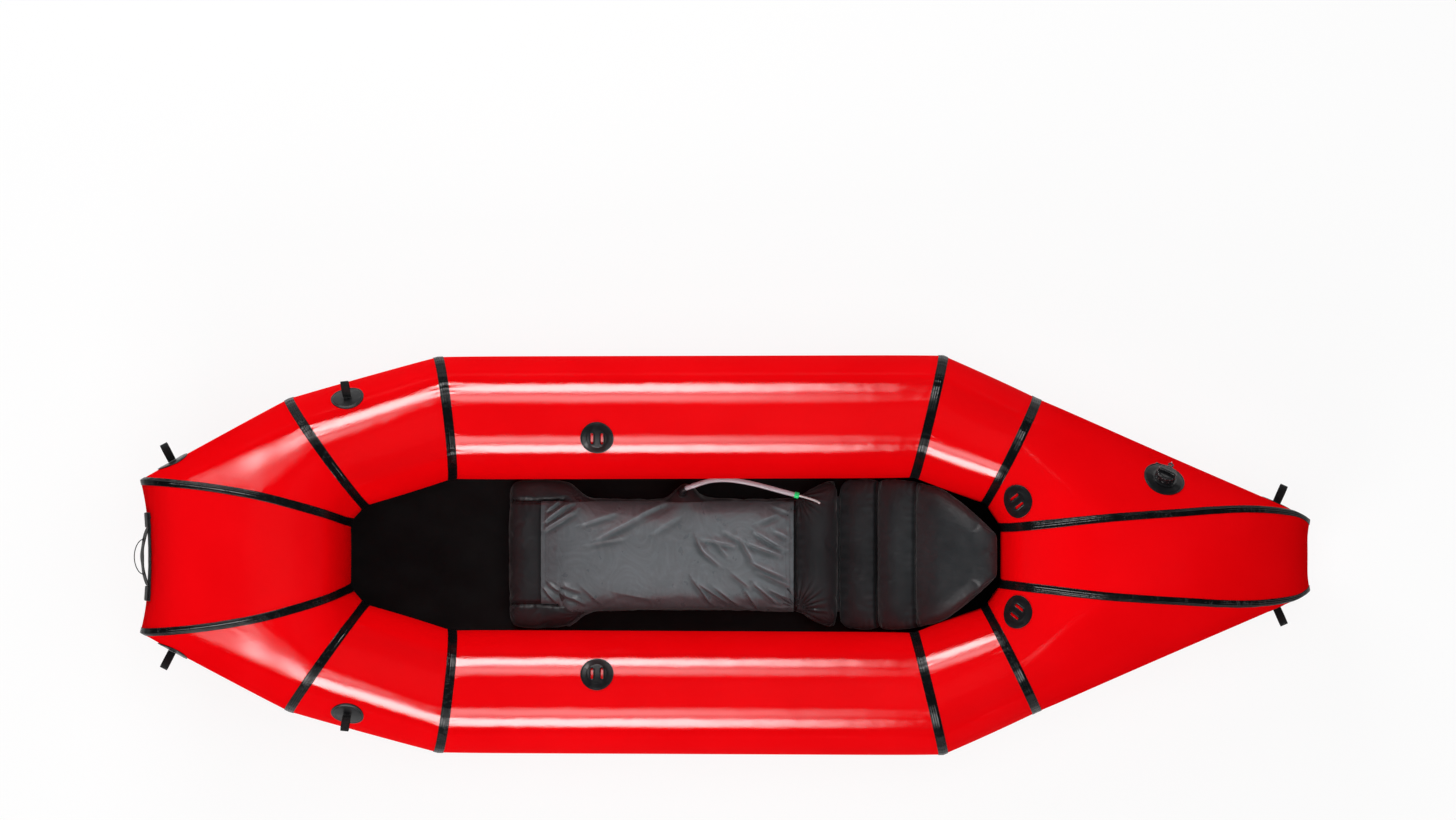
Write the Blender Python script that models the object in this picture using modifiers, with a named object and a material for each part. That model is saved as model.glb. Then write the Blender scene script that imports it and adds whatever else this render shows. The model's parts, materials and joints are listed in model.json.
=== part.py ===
"""One-person packraft with an air tube of twelve welded panels, taped seams, a fabric
floor, sewn and moulded fittings, an inflation valve, an inflatable seat and backrest.
Metres, +X to the stern, +Y to the side that carries the valve, +Z up, standing on its floor.
"""
import math

import bmesh
import bpy
from mathutils import Matrix, Vector
from mathutils.bvhtree import BVHTree

# Overall sizes of the hull. Its middle is aft of the origin, as the bow handle stands out
# past the bow and the origin is the middle of the whole.
HULL_LENGTH = 2.400
HULL_CENTRE_X = 0.0043
HULL_WIDTH = 0.820
COCKPIT_LENGTH = 1.340
COCKPIT_WIDTH = 0.320
COCKPIT_CENTRE_X = -0.108
MAIN_TUBE_HEIGHT = 0.254
BOW_QUARTER_HEIGHT = 0.303
STERN_QUARTER_HEIGHT = 0.287
BOW_HEIGHT = 0.357
STERN_HEIGHT = 0.372
BOW_GORE_WIDTH = 0.311
STERN_GORE_WIDTH = 0.202

# Height of each seam's lowest point over the standing plane of the tube
BOW_RISE = 0.010
BOW_QUARTER_RISE = 0.009
FORE_RISE = 0.0
AFT_RISE = 0.045
STERN_QUARTER_RISE = 0.028
STERN_RISE = 0.0

# How far the two gores swell between their seams, and the main seam leans aft at its top
BOW_SWELL = 0.014
STERN_SWELL = 0.019
FORE_SEAM_LEAN = 0.012

# Sheet goods
HULL_FABRIC = 0.0006
SEAM_GAP = 0.0005
TAPE_WIDTH = 0.020
TAPE_THICKNESS = 0.0005
FLOOR_THICKNESS = 0.0009
CLEARANCE = 0.0003
PATCH_LIFT = 0.0013
PATCH_THICKNESS = 0.0014
EDGE_ROUND = 0.0006

# Facets: columns round the tube, segments round the smaller pieces, and steps along others
TUBE_COLUMNS = 28
PATCH_SEGMENTS = 16
PATCH_RINGS = 2
VALVE_SEGMENTS = 20
SMALL_SEGMENTS = 10
SLOT_SEGMENTS = 8
NOTCH_SEGMENTS = 6
NORMAL_SAMPLES = 8
HANDLE_STRIP_STEPS = 8
HANDLE_STRIP_ROWS = 4
HANDLE_STRAP_STEPS = 12
PULL_LOOP_STEPS = 16
MERGE_DISTANCE = 0.00001

# Tie-down loops
LOOP_PATCH_RADIUS = 0.034
WEBBING_WIDTH = 0.0165
WEBBING_THICKNESS = 0.0016
LOOP_REACH = 0.036
LOOP_GAP = 0.0125
LOOP_ROOT_RADIUS = 0.0030
KEEPER_LENGTH = 0.013
KEEPER_HEIGHT = 0.0022
BOW_LOOP_STEP = 0.0767
STERN_LOOP_STEP = 0.0768

# Lash patches with two slots
LASH_RADIUS = 0.034
LASH_PLATEAU_RADIUS = 0.0185
LASH_HEIGHT = 0.0074
LASH_THICKNESS = 0.0018
LASH_SLOT_PITCH = 0.0205
LASH_SLOT_LENGTH = 0.0240
LASH_SLOT_WIDTH = 0.0055
LASH_RIM_LIFT = 0.0005
NORMAL_REACH = 0.0227

# Inflation valve
VALVE_FLANGE_RADIUS = 0.043
VALVE_BODY_RADIUS = 0.0200
VALVE_RIM_RADIUS = 0.0255
VALVE_RIM_LIFT = 0.0009
VALVE_RIM_HEIGHT = 0.0032
VALVE_NECK_HEIGHT = 0.0105
VALVE_NECK_RADIUS = 0.0180
VALVE_BORE_RADIUS = 0.0155
VALVE_DEPTH = 0.0260
VALVE_SEAT_RADIUS = 0.0125
VALVE_SEAT_THICKNESS = 0.0030
VALVE_SPOKE_WIDTH = 0.0024
VALVE_SPOKES = 3
VALVE_HUB_RADIUS = 0.0042
VALVE_HUB_HEIGHT = 0.0070
POPPET_STEM_RADIUS = 0.0020
POPPET_DISC_RADIUS = 0.0142
POPPET_DISC_THICKNESS = 0.0022
POPPET_HEAD_RADIUS = 0.0056
POPPET_HEAD_THICKNESS = 0.0022
SPRING_HEIGHT = 0.0125
SPRING_WIRE_RADIUS = 0.00045
SPRING_RADIUS = 0.0036
SPRING_TURNS = 4
SPRING_POINTS_PER_TURN = 7
CAP_RADIUS = 0.0215
CAP_HEIGHT = 0.0125
CAP_NOTCH_START = 0.0022
CAP_GRIP_INSET = 0.0030
CAP_GRIP_HEIGHT = 0.0060
CAP_GRIP_WIDTH = 0.0090
CAP_NOTCHES = 12
CAP_NOTCH_RADIUS = 0.0018
TETHER_RING_WALL = 0.0030
TETHER_THICKNESS = 0.0016
TETHER_WIDTH = 0.0060
TETHER_LENGTH = 0.0180

# Bow handle
HANDLE_LENGTH = 0.180
HANDLE_BASE_WIDTH = 0.030
HANDLE_BASE_LIFT = 0.0015
HANDLE_STRAP_WIDTH = 0.025
HANDLE_STRAP_THICKNESS = 0.0020
HANDLE_END_LENGTH = 0.031
HANDLE_ARCH = 0.0150
HANDLE_ARCH_POWER = 0.7
HANDLE_ANGLE = math.radians(161)
HANDLE_PAD_HEIGHT = 0.0030
PULL_LOOP_SPAN = 0.070
PULL_LOOP_REACH = 0.014
PULL_LOOP_RADIUS = 0.0010

# Seat, backrest and hose
SEAT_LENGTH = 0.672
SEAT_WIDTH = 0.318
SEAT_HEIGHT = 0.074
SEAT_FRONT_X = -0.452
COVER_START_X = -0.372
COVER_END_X = 0.143
COVER_WIDTH = 0.224
COVER_THICKNESS = 0.0008
HEM_THICKNESS = 0.0030
HEM_HEIGHT = 0.030
HEM_LENGTH = 0.016
HEM_WIDTH = 0.240
HINGE_ROLL_RADIUS = 0.0040
BACKREST_END_GAP = 0.0141
BACKREST_WIDTH = 0.316
BACKREST_THICKNESS = 0.044
BACKREST_RECLINE = math.radians(26)
HOSE_RADIUS = 0.0050
HOSE_TIP_RADIUS = 0.0022
COLLAR_RADIUS = 0.0066
COLLAR_LENGTH = 0.0085
INLET_RADIUS = 0.0105
INLET_HEIGHT = 0.0090
INLET_COLLAR_RADIUS = 0.0070

# Lifts of each layer over the tube's skin
TAPE_LIFT = CLEARANCE
FLOOR_LIFT = TAPE_LIFT + TAPE_THICKNESS + CLEARANCE
STANDING_LIFT = FLOOR_LIFT + FLOOR_THICKNESS
OVERRUN = 0.004

RED = (0.78, 0.012, 0.010)
BLACK = (0.012, 0.012, 0.014)
GREY = (0.060, 0.062, 0.066)
STEEL = (0.50, 0.50, 0.50)
CLEAR_HOSE = (0.75, 0.72, 0.78)
CLEAR_TIP = (0.85, 0.85, 0.85)
GREEN = (0.03, 0.75, 0.25)

# Seams of the port side from bow to stern. The first and last are rounded outlines given
# by shares. The four between are ellipses from an inner to an outer point.
# Shares: inner x of half the cockpit's length, inner y of half its width,
# outer x of half the hull's length, outer y of half its width.
SEAM_NAMES = ("bow_gore", "bow_quarter", "fore", "aft", "stern_quarter", "stern_gore")
INNER_X_SHARES = (-1.0, -0.952, -0.688, 0.734, 0.952, 1.0)
INNER_Y_SHARES = (0.43, 0.635, 0.98, 1.0, 0.6625, 0.37)
OUTER_X_SHARES = (-0.998, -0.752, -0.498, 0.370, 0.530, 0.998)
OUTER_Y_SHARES = (0.38, 0.784, 0.994, 1.0, 0.787, 0.18)
SEAM_HEIGHTS = (BOW_HEIGHT, BOW_QUARTER_HEIGHT, MAIN_TUBE_HEIGHT, MAIN_TUBE_HEIGHT,
                STERN_QUARTER_HEIGHT, STERN_HEIGHT)
SEAM_RISES = (BOW_RISE, BOW_QUARTER_RISE, FORE_RISE, AFT_RISE, STERN_QUARTER_RISE, STERN_RISE)

# Sixteen stations round each gore seam, from the cockpit wall over the top to the tip and
# back below: share of the way to the tip, share of the gore's half width, share of height.
BOW_RING_SHARES = (
    (0.000, 0.444, 0.441), (0.025, 0.483, 0.679), (0.099, 0.566, 0.856), (0.241, 0.685, 0.954),
    (0.429, 0.817, 1.000), (0.645, 0.919, 0.999), (0.833, 0.977, 0.978), (0.956, 1.000, 0.895),
    (1.000, 1.000, 0.763), (0.980, 0.990, 0.609), (0.892, 0.945, 0.403), (0.606, 0.745, 0.066),
    (0.315, 0.556, 0.000), (0.133, 0.465, 0.032), (0.044, 0.442, 0.127), (0.005, 0.433, 0.267))
STERN_RING_SHARES = (
    (0.000, 0.586, 0.489), (0.010, 0.590, 0.695), (0.055, 0.612, 0.846), (0.146, 0.673, 0.925),
    (0.334, 0.806, 1.000), (0.555, 0.908, 0.945), (0.776, 0.984, 0.807), (0.938, 0.898, 0.631),
    (1.000, 0.714, 0.470), (0.958, 0.857, 0.306), (0.792, 0.986, 0.188), (0.581, 0.918, 0.078),
    (0.380, 0.837, 0.000), (0.185, 0.694, 0.080), (0.055, 0.612, 0.170), (0.010, 0.592, 0.309))
BOW_SWELL_SHARES = (0, 0, 0.2, 0.5, 0.8, 0.9, 0.6, -0.7, -1.5, -0.5, 0.8, 0.6, 0, 0, 0, 0)
STERN_SWELL_SHARES = (0, 0, 0.1, 0.2, 0.25, 0.75, 0.95, 0.9, -0.4, 0.5, 1, 0.85, 0, 0, 0, 0)
GORE_ROW_SHARES = (0.35, 0.65)

# Places of the fittings on the port side: the seam before them, the share of the way from it
# to the next seam, a distance further on, and the angle round the tube. Tie-down loops add
# the direction in which they point, and lash patches the turn of their slots from square.
LOOP_PLACES = {
    "bow": (("bow_gore", 0, BOW_LOOP_STEP, math.radians(173)), (-0.55, 0.83)),
    "fore": (("bow_quarter", 0.3536, 0, math.radians(138.2)), (0.0, 1.0)),
    "stern": (("stern_quarter", 1, -STERN_LOOP_STEP, math.radians(182.7)), (0.60, 0.80)),
}
LASH_PLACES = {
    "mid": (("fore", 0.3097, 0, math.radians(70.7)), 0.0),
    "aft": (("stern_quarter", 0.4927, 0, math.radians(58.7)), math.radians(-54)),
}
VALVE_PLACE = ("stern_quarter", 0.6787, 0, math.radians(128.7))
VALVE_POINTING = (0.5, 0.86)
SIDES = {"port": 1, "starboard": -1}

# Seat outline: share of length, half width share, height share, at each cross section
SEAT_SHARES = (
    (0.000, 0.90, 0.42), (0.018, 0.955, 0.80), (0.055, 0.985, 0.93), (0.095, 0.975, 0.90),
    (0.119, 0.950, 0.74), (0.145, 0.975, 0.88), (0.250, 1.000, 0.97), (0.460, 1.000, 1.00),
    (0.680, 1.000, 0.98), (0.835, 0.975, 0.90), (0.885, 0.945, 0.76), (0.915, 0.975, 0.95),
    (0.955, 0.975, 1.00), (0.985, 0.950, 0.82), (1.000, 0.900, 0.48))
BACKREST_SHARES = (
    (0.030, 0.86, 0.30), (0.060, 0.96, 0.80), (0.120, 1.00, 1.00), (0.195, 0.99, 0.92),
    (0.228, 0.98, 0.72), (0.261, 0.99, 0.92), (0.350, 0.98, 1.00), (0.447, 0.97, 0.90),
    (0.480, 0.96, 0.70), (0.513, 0.93, 0.90), (0.640, 0.80, 1.00), (0.800, 0.56, 0.95),
    (0.930, 0.33, 0.78), (1.000, 0.22, 0.36))
# Half of a folded loop, from its root to its tip: share of the bulge, share of the reach
LOOP_PATH_SHARES = ((0.45, 0.14), (0.80, 0.36), (1.00, 0.62), (0.80, 0.86))
# Half of a cushion's cross section: share of the half width, share of the height
SECTION_SHARES = ((0.0, 1.0), (0.62, 0.98), (0.97, 0.78), (1.0, 0.34), (0.80, 0.0), (0.0, 0.0))

# Foot of the hose's inlet on the seat, and the hose's route, measured from the seat frame
INLET_X = -0.0900
INLET_Y = 0.1280
HOSE_ROUTE = (
    (-0.0628, 0.1432, 0.0890), (-0.0319, 0.1524, 0.0925), (0.0010, 0.1545, 0.0930),
    (0.0360, 0.1504, 0.0915), (0.0773, 0.1411, 0.0880), (0.1185, 0.1298, 0.0840),
    (0.1432, 0.1236, 0.0825))
HOSE_TIP_ROUTE = ((0.1655, 0.1178, 0.0830), (0.1850, 0.1115, 0.0850), (0.1947, 0.1061, 0.0865))


def clear_scene():
    for item in list(bpy.data.objects):
        bpy.data.objects.remove(item, do_unlink=True)


def new_collection(name):
    group = bpy.data.collections.new(name)
    bpy.context.scene.collection.children.link(group)
    return group


def new_material(name, colour, roughness, metallic=0.0):
    material = bpy.data.materials.new(name)
    material.use_nodes = True
    shader = material.node_tree.nodes["Principled BSDF"]
    shader.inputs["Base Color"].default_value = (*colour, 1)
    shader.inputs["Roughness"].default_value = roughness
    shader.inputs["Metallic"].default_value = metallic
    return material


clear_scene()
PARTS = new_collection("packraft")
GUIDES = new_collection("guides")


def add_object(name, mesh, material, place=None, smooth_angle=math.radians(30)):
    """A named sub-part with its own material."""
    mesh.materials.clear()
    mesh.materials.append(material)
    mesh.shade_smooth()
    mesh.set_sharp_from_angle(angle=smooth_angle)
    item = bpy.data.objects.new(name, mesh)
    PARTS.objects.link(item)
    if place is not None:
        item.matrix_world = place
    return item


def add_guide(name, mesh, place=None):
    item = bpy.data.objects.new(name, mesh)
    GUIDES.objects.link(item)
    item.hide_render = True
    item.display_type = "WIRE"
    if place is not None:
        item.matrix_world = place
    return item


def mesh_from(name, points, faces):
    mesh = bpy.data.meshes.new(name)
    mesh.from_pydata([tuple(p) for p in points], [], faces)
    mesh.validate()
    return mesh


def mesh_from_bmesh(name, form):
    mesh = bpy.data.meshes.new(name)
    form.to_mesh(mesh)
    form.free()
    return mesh


def add_solidify(item, thickness, offset):
    solidify = item.modifiers.new("thickness", "SOLIDIFY")
    solidify.thickness = thickness
    solidify.offset = offset
    solidify.use_even_offset = True
    return solidify


def add_boolean(item, other, operation):
    cut = item.modifiers.new(operation.lower(), "BOOLEAN")
    cut.operation = operation
    cut.solver = "EXACT"
    cut.object = other
    return cut


def evaluated_mesh(item):
    bpy.context.view_layer.update()
    return bpy.data.meshes.new_from_object(item.evaluated_get(bpy.context.evaluated_depsgraph_get()))


def remove_object(item):
    bpy.data.objects.remove(item, do_unlink=True)


def turned(name, profile, steps):
    """A profile of (radius, height) points, from top to bottom on its outer side, turned
    about Z. It closes on itself, or on the axis where its first and last radius are zero."""
    on_axis = profile[0][0] == 0
    count = len(profile)
    edges = [(n, n + 1) for n in range(count - 1)]
    if not on_axis:
        edges.append((count - 1, 0))
    outline = bpy.data.meshes.new(name + "_profile")
    outline.from_pydata([(r, 0, z) for r, z in profile], edges, [])
    item = bpy.data.objects.new(name + "_profile", outline)
    GUIDES.objects.link(item)
    screw = item.modifiers.new("turn", "SCREW")
    screw.steps = steps
    screw.render_steps = steps
    screw.use_merge_vertices = True
    screw.merge_threshold = MERGE_DISTANCE
    mesh = evaluated_mesh(item)
    remove_object(item)
    form = bmesh.new()
    form.from_mesh(mesh)
    bmesh.ops.remove_doubles(form, verts=form.verts, dist=MERGE_DISTANCE)
    bmesh.ops.recalc_face_normals(form, faces=form.faces)
    return mesh_from_bmesh(name, form)


def box_mesh(name, size, centre=(0, 0, 0)):
    form = bmesh.new()
    bmesh.ops.create_cube(form, size=1)
    bmesh.ops.scale(form, vec=size, verts=form.verts)
    bmesh.ops.translate(form, vec=centre, verts=form.verts)
    return mesh_from_bmesh(name, form)


def cylinder_mesh(name, radius, height, base, segments):
    """A cylinder along +Z that stands on the given base."""
    form = bmesh.new()
    bmesh.ops.create_cone(form, cap_ends=True, segments=segments, radius1=radius,
                          radius2=radius, depth=height)
    bmesh.ops.translate(form, vec=(0, 0, base + height / 2), verts=form.verts)
    return mesh_from_bmesh(name, form)


def joined(name, first, others, operation="UNION"):
    """The Boolean union or difference of closed meshes."""
    base = bpy.data.objects.new(name + "_base", first)
    GUIDES.objects.link(base)
    helpers = []
    for other in others:
        helper = bpy.data.objects.new(name + "_tool", other)
        GUIDES.objects.link(helper)
        helpers.append(helper)
        add_boolean(base, helper, operation)
    mesh = evaluated_mesh(base)
    mesh.name = name
    for item in [base] + helpers:
        remove_object(item)
    return mesh


def tube_mesh(name, points, radius, resolution=2):
    """A round tube with closed ends along a smooth route."""
    curve = bpy.data.curves.new(name, "CURVE")
    curve.dimensions = "3D"
    spline = curve.splines.new("POLY")
    spline.points.add(len(points) - 1)
    for target, point in zip(spline.points, points):
        target.co = (*point, 1)
    curve.bevel_depth = radius
    curve.bevel_resolution = resolution
    curve.use_fill_caps = True
    item = bpy.data.objects.new(name, curve)
    GUIDES.objects.link(item)
    mesh = evaluated_mesh(item)
    remove_object(item)
    form = bmesh.new()
    form.from_mesh(mesh)
    bmesh.ops.remove_doubles(form, verts=form.verts, dist=MERGE_DISTANCE)
    bmesh.ops.recalc_face_normals(form, faces=form.faces)
    return mesh_from_bmesh(name, form)


def spline_through(points, per_span):
    """Points on a Catmull-Rom curve through the given ones."""
    count = len(points)
    smooth = []
    for n in range(count - 1):
        picks = [min(max(p, 0), count - 1) for p in (n - 1, n, n + 1, n + 2)]
        a, b, c, d = (Vector(points[p]) for p in picks)
        smooth += [catmull_rom(a, b, c, d, step / per_span) for step in range(per_span)]
    smooth.append(Vector(points[-1]))
    return smooth


def catmull_rom(a, b, c, d, t):
    return 0.5 * (2 * b + (c - a) * t + (2 * a - 5 * b + 4 * c - d) * t * t
                  + (3 * b - a - 3 * c + d) * t ** 3)


def around(table, angle):
    """A table of equal steps round the tube, read at any angle."""
    count = len(table)
    place = angle / (2 * math.pi) * count
    first = math.floor(place)
    picks = [Vector(table[(first + n) % count]) for n in (-1, 0, 1, 2)]
    return catmull_rom(*picks, place - first)


def seam_point(index, angle):
    """A point of a port seam. The angle runs from the cockpit wall over the top."""
    inner_x = HULL_CENTRE_X + COCKPIT_CENTRE_X + INNER_X_SHARES[index] * COCKPIT_LENGTH / 2
    outer_x = HULL_CENTRE_X + OUTER_X_SHARES[index] * HULL_LENGTH / 2
    base = STANDING_LIFT + SEAM_RISES[index]
    height = SEAM_HEIGHTS[index]
    if index in (0, len(SEAM_NAMES) - 1):
        bow = index == 0
        half_width = (BOW_GORE_WIDTH if bow else STERN_GORE_WIDTH) / 2
        along, across, up = around(BOW_RING_SHARES if bow else STERN_RING_SHARES, angle)
        return Vector((inner_x + along * (outer_x - inner_x), across * half_width, base + up * height))
    inner_y = INNER_Y_SHARES[index] * COCKPIT_WIDTH / 2
    outer_y = OUTER_Y_SHARES[index] * HULL_WIDTH / 2
    out = (1 - math.cos(angle)) / 2
    up = (1 + math.sin(angle)) / 2
    lean = FORE_SEAM_LEAN * math.sin(angle) if SEAM_NAMES[index] == "fore" else 0
    return Vector((inner_x + out * (outer_x - inner_x) + lean,
                   inner_y + out * (outer_y - inner_y), base + up * height))


def gore_point(index, share, angle):
    """A point of the bow or stern gore, from its port seam to its starboard one."""
    bow = index == 0
    port = seam_point(index, angle)
    swell_shares = [(s, 0) for s in (BOW_SWELL_SHARES if bow else STERN_SWELL_SHARES)]
    swell = around(swell_shares, angle)[0] * (BOW_SWELL if bow else STERN_SWELL)
    step = math.pi / TUBE_COLUMNS
    along = seam_point(index, angle + step) - seam_point(index, angle - step)
    out = Vector((-along.z, 0, along.x))
    middle = seam_point(index, 0) + seam_point(index, math.pi)
    if out.dot(port - middle / 2) < 0:
        out.negate()
    point = Vector((port.x, port.y * (1 - 2 * share), port.z))
    return point + out.normalized() * swell * 4 * share * (1 - share)


COLUMN_ANGLES = [2 * math.pi * n / TUBE_COLUMNS for n in range(TUBE_COLUMNS)]
LAST_SEAM = len(SEAM_NAMES) - 1


def side_rows():
    """Rows of points along one side, from the bow gore's seam to the stern gore's."""
    rows = []
    for index in range(LAST_SEAM):
        starts = [seam_point(index, a) for a in COLUMN_ANGLES]
        ends = [seam_point(index + 1, a) for a in COLUMN_ANGLES]
        shares = [TAPE_WIDTH / 2 / (e - s).length for s, e in zip(starts, ends)]
        rows.append(starts)
        rows.append([s.lerp(e, t) for s, e, t in zip(starts, ends, shares)])
        rows.append([s.lerp(e, 1 - t) for s, e, t in zip(starts, ends, shares)])
    rows.append([seam_point(LAST_SEAM, a) for a in COLUMN_ANGLES])
    return rows


def gore_rows(index):
    """Rows between a gore's two seams, from port to starboard, without the seams."""
    width = [2 * seam_point(index, a).y for a in COLUMN_ANGLES]
    shares = [[TAPE_WIDTH / 2 / w for w in width]]
    shares += [[s] * TUBE_COLUMNS for s in GORE_ROW_SHARES]
    shares += [[1 - TAPE_WIDTH / 2 / w for w in width]]
    return [[gore_point(index, s, a) for s, a in zip(row, COLUMN_ANGLES)] for row in shares]


def mirrored(rows):
    return [[Vector((p.x, -p.y, p.z)) for p in row] for row in rows]


def hull_loop():
    """All rows of the tube as one closed loop: port side, stern, starboard side, bow."""
    side = side_rows()
    stern = gore_rows(LAST_SEAM)
    bow = gore_rows(0)
    return side + stern + mirrored(side[::-1]) + bow[::-1]


ROWS = hull_loop()
ROW_COUNT = len(ROWS)
SIDE_ROW_COUNT = 3 * LAST_SEAM + 1
GORE_ROW_COUNT = len(GORE_ROW_SHARES) + 2
STARBOARD_START = SIDE_ROW_COUNT + GORE_ROW_COUNT
BOW_START = STARBOARD_START + SIDE_ROW_COUNT


def skin_normals(rows):
    """Outward normals of the tube's skin at each of its points."""
    normals = []
    for r in range(len(rows)):
        line = []
        for c in range(TUBE_COLUMNS):
            here = rows[r][c]
            fore = (rows[r - 1][c] - here).normalized()
            aft = (rows[(r + 1) % len(rows)][c] - here).normalized()
            down = (rows[r][c - 1] - here).normalized()
            up = (rows[r][(c + 1) % TUBE_COLUMNS] - here).normalized()
            total = aft.cross(up) + up.cross(fore) + fore.cross(down) + down.cross(aft)
            line.append(total.normalized())
        normals.append(line)
    return normals


NORMALS = skin_normals(ROWS)


def lifted(row, column, lift):
    row, column = row % ROW_COUNT, column % TUBE_COLUMNS
    return ROWS[row][column] + NORMALS[row][column] * lift


def split_quad(a, b, e, d, row):
    """Two triangles, with the diagonal turned over on the starboard half of the boat."""
    port_half = row < SIDE_ROW_COUNT + GORE_ROW_COUNT / 2 - 1 or row > BOW_START + 1
    if port_half:
        return [(a, b, e), (a, e, d)]
    return [(a, b, d), (b, e, d)]


def tube_strip(name, rows, first):
    """Triangles between rows right round the tube, from the given row of the loop on."""
    points = [p for row in rows for p in row]
    faces = []
    for r in range(len(rows) - 1):
        for c in range(TUBE_COLUMNS):
            a, b = r * TUBE_COLUMNS + c, (r + 1) * TUBE_COLUMNS + c
            d, e = (n - c + (c + 1) % TUBE_COLUMNS for n in (a, b))
            faces += split_quad(a, b, e, d, (first + r) % ROW_COUNT)
    return mesh_from(name, points, faces)


def panel_rows(first, last):
    """Rows of one panel, with its two end rows drawn back from the seams."""
    rows = [[lifted(r, c, 0) for c in range(TUBE_COLUMNS)] for r in range(first, last + 1)]
    share = SEAM_GAP / (TAPE_WIDTH / 2)
    rows[0] = [a.lerp(b, share) for a, b in zip(rows[0], rows[1])]
    rows[-1] = [a.lerp(b, share) for a, b in zip(rows[-1], rows[-2])]
    return rows


def seam_row(side, index):
    if side == "port":
        return 3 * index
    return STARBOARD_START + 3 * (LAST_SEAM - index)


def make_panels():
    panel_names = ("bow_quarter_panel", "fore_panel", "main_panel", "aft_panel",
                   "stern_quarter_panel")
    spans = {"bow_panel": (BOW_START - 1, ROW_COUNT),
             "stern_panel": (SIDE_ROW_COUNT - 1, STARBOARD_START)}
    for index, name in enumerate(panel_names):
        spans["port_" + name] = (seam_row("port", index), seam_row("port", index + 1))
        spans["starboard_" + name] = (seam_row("starboard", index + 1),
                                      seam_row("starboard", index))
    panels = {}
    for name, (first, last) in spans.items():
        material = new_material(name + "_red", RED, 0.22)
        panels[name] = add_object(name, tube_strip(name, panel_rows(first, last), first), material)
        add_solidify(panels[name], HULL_FABRIC, -1)
    return panels


def make_tapes():
    for side in SIDES:
        for index, seam in enumerate(SEAM_NAMES):
            name = side + "_" + seam + "_tape"
            middle = seam_row(side, index)
            rows = [[lifted(r, c, TAPE_LIFT) for c in range(TUBE_COLUMNS)]
                    for r in (middle - 1, middle, middle + 1)]
            mesh = tube_strip(name, rows, middle - 1)
            tape = add_object(name, mesh, new_material(name + "_black", BLACK, 0.25))
            add_solidify(tape, TAPE_THICKNESS, 1)


BOTTOM_COLUMN = TUBE_COLUMNS * 3 // 4
FLOOR_EDGE_COLUMN = BOTTOM_COLUMN - 2


def floor_mesh():
    """A band up the outboard side of the tube all round, and the sheet inside it."""
    points, faces, known = [], [], {}

    def vertex(key, point):
        if key not in known:
            known[key] = len(points)
            points.append(point)
        return known[key]

    def band(r, c):
        return vertex((r % ROW_COUNT, c), lifted(r, c, FLOOR_LIFT))

    for r in range(ROW_COUNT):
        for c in range(FLOOR_EDGE_COLUMN, BOTTOM_COLUMN):
            a, b = band(r, c), band(r + 1, c)
            d, e = band(r, c + 1), band(r + 1, c + 1)
            faces += split_quad(a, b, e, d, r)
    across = GORE_ROW_COUNT + 2
    bow_line = [ROW_COUNT - n for n in range(across)]
    stern_line = [SIDE_ROW_COUNT - 1 + n for n in range(across)]

    def line_shares(line):
        ys = [lifted(r, BOTTOM_COLUMN, FLOOR_LIFT).y for r in line]
        return [(ys[0] - y) / (ys[0] - ys[-1]) for y in ys]

    bow_shares, stern_shares = line_shares(bow_line), line_shares(stern_line)
    last = SIDE_ROW_COUNT - 1
    grid = []
    for r in range(SIDE_ROW_COUNT):
        if r == 0:
            grid.append([band(n, BOTTOM_COLUMN) for n in bow_line])
            continue
        if r == last:
            grid.append([band(n, BOTTOM_COLUMN) for n in stern_line])
            continue
        port = lifted(r, BOTTOM_COLUMN, FLOOR_LIFT)
        starboard = lifted(STARBOARD_START + last - r, BOTTOM_COLUMN, FLOOR_LIFT)
        line = [band(r, BOTTOM_COLUMN)]
        for n in range(1, across - 1):
            share = bow_shares[n] + (stern_shares[n] - bow_shares[n]) * r / last
            line.append(vertex(("sheet", r, n), port.lerp(starboard, share)))
        line.append(band(STARBOARD_START + last - r, BOTTOM_COLUMN))
        grid.append(line)
    for r in range(last):
        for n in range(across - 1):
            a, b, d, e = grid[r][n], grid[r + 1][n], grid[r][n + 1], grid[r + 1][n + 1]
            faces += [(a, b, e), (a, e, d)]
    return mesh_from("floor", points, faces)


def make_floor():
    floor = add_object("floor", floor_mesh(), new_material("floor_black", BLACK, 0.5))
    add_solidify(floor, FLOOR_THICKNESS, 1)
    return floor


def hull_guide():
    """The whole skin of the tube, to lay patches on."""
    return tube_strip("hull_skin", ROWS + [ROWS[0]], 0)


HULL_SKIN = add_guide("hull_skin", hull_guide())


def skin_tree():
    form = bmesh.new()
    form.from_mesh(HULL_SKIN.data)
    tree = BVHTree.FromBMesh(form)
    form.free()
    return tree


SKIN_TREE = skin_tree()


def level_normal(place, facet):
    """The mean direction of the skin round a point, over several facets."""
    side = facet.orthogonal().normalized()
    forward = facet.cross(side)
    ring = []
    for n in range(NORMAL_SAMPLES):
        angle = 2 * math.pi * n / NORMAL_SAMPLES
        offset = (side * math.cos(angle) + forward * math.sin(angle)) * NORMAL_REACH
        ring.append(SKIN_TREE.find_nearest(place + offset)[0] - place)
    normal = sum((a.cross(b) for a, b in zip(ring, ring[1:] + ring[:1])), Vector()).normalized()
    return -normal if normal.dot(facet) < 0 else normal


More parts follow.
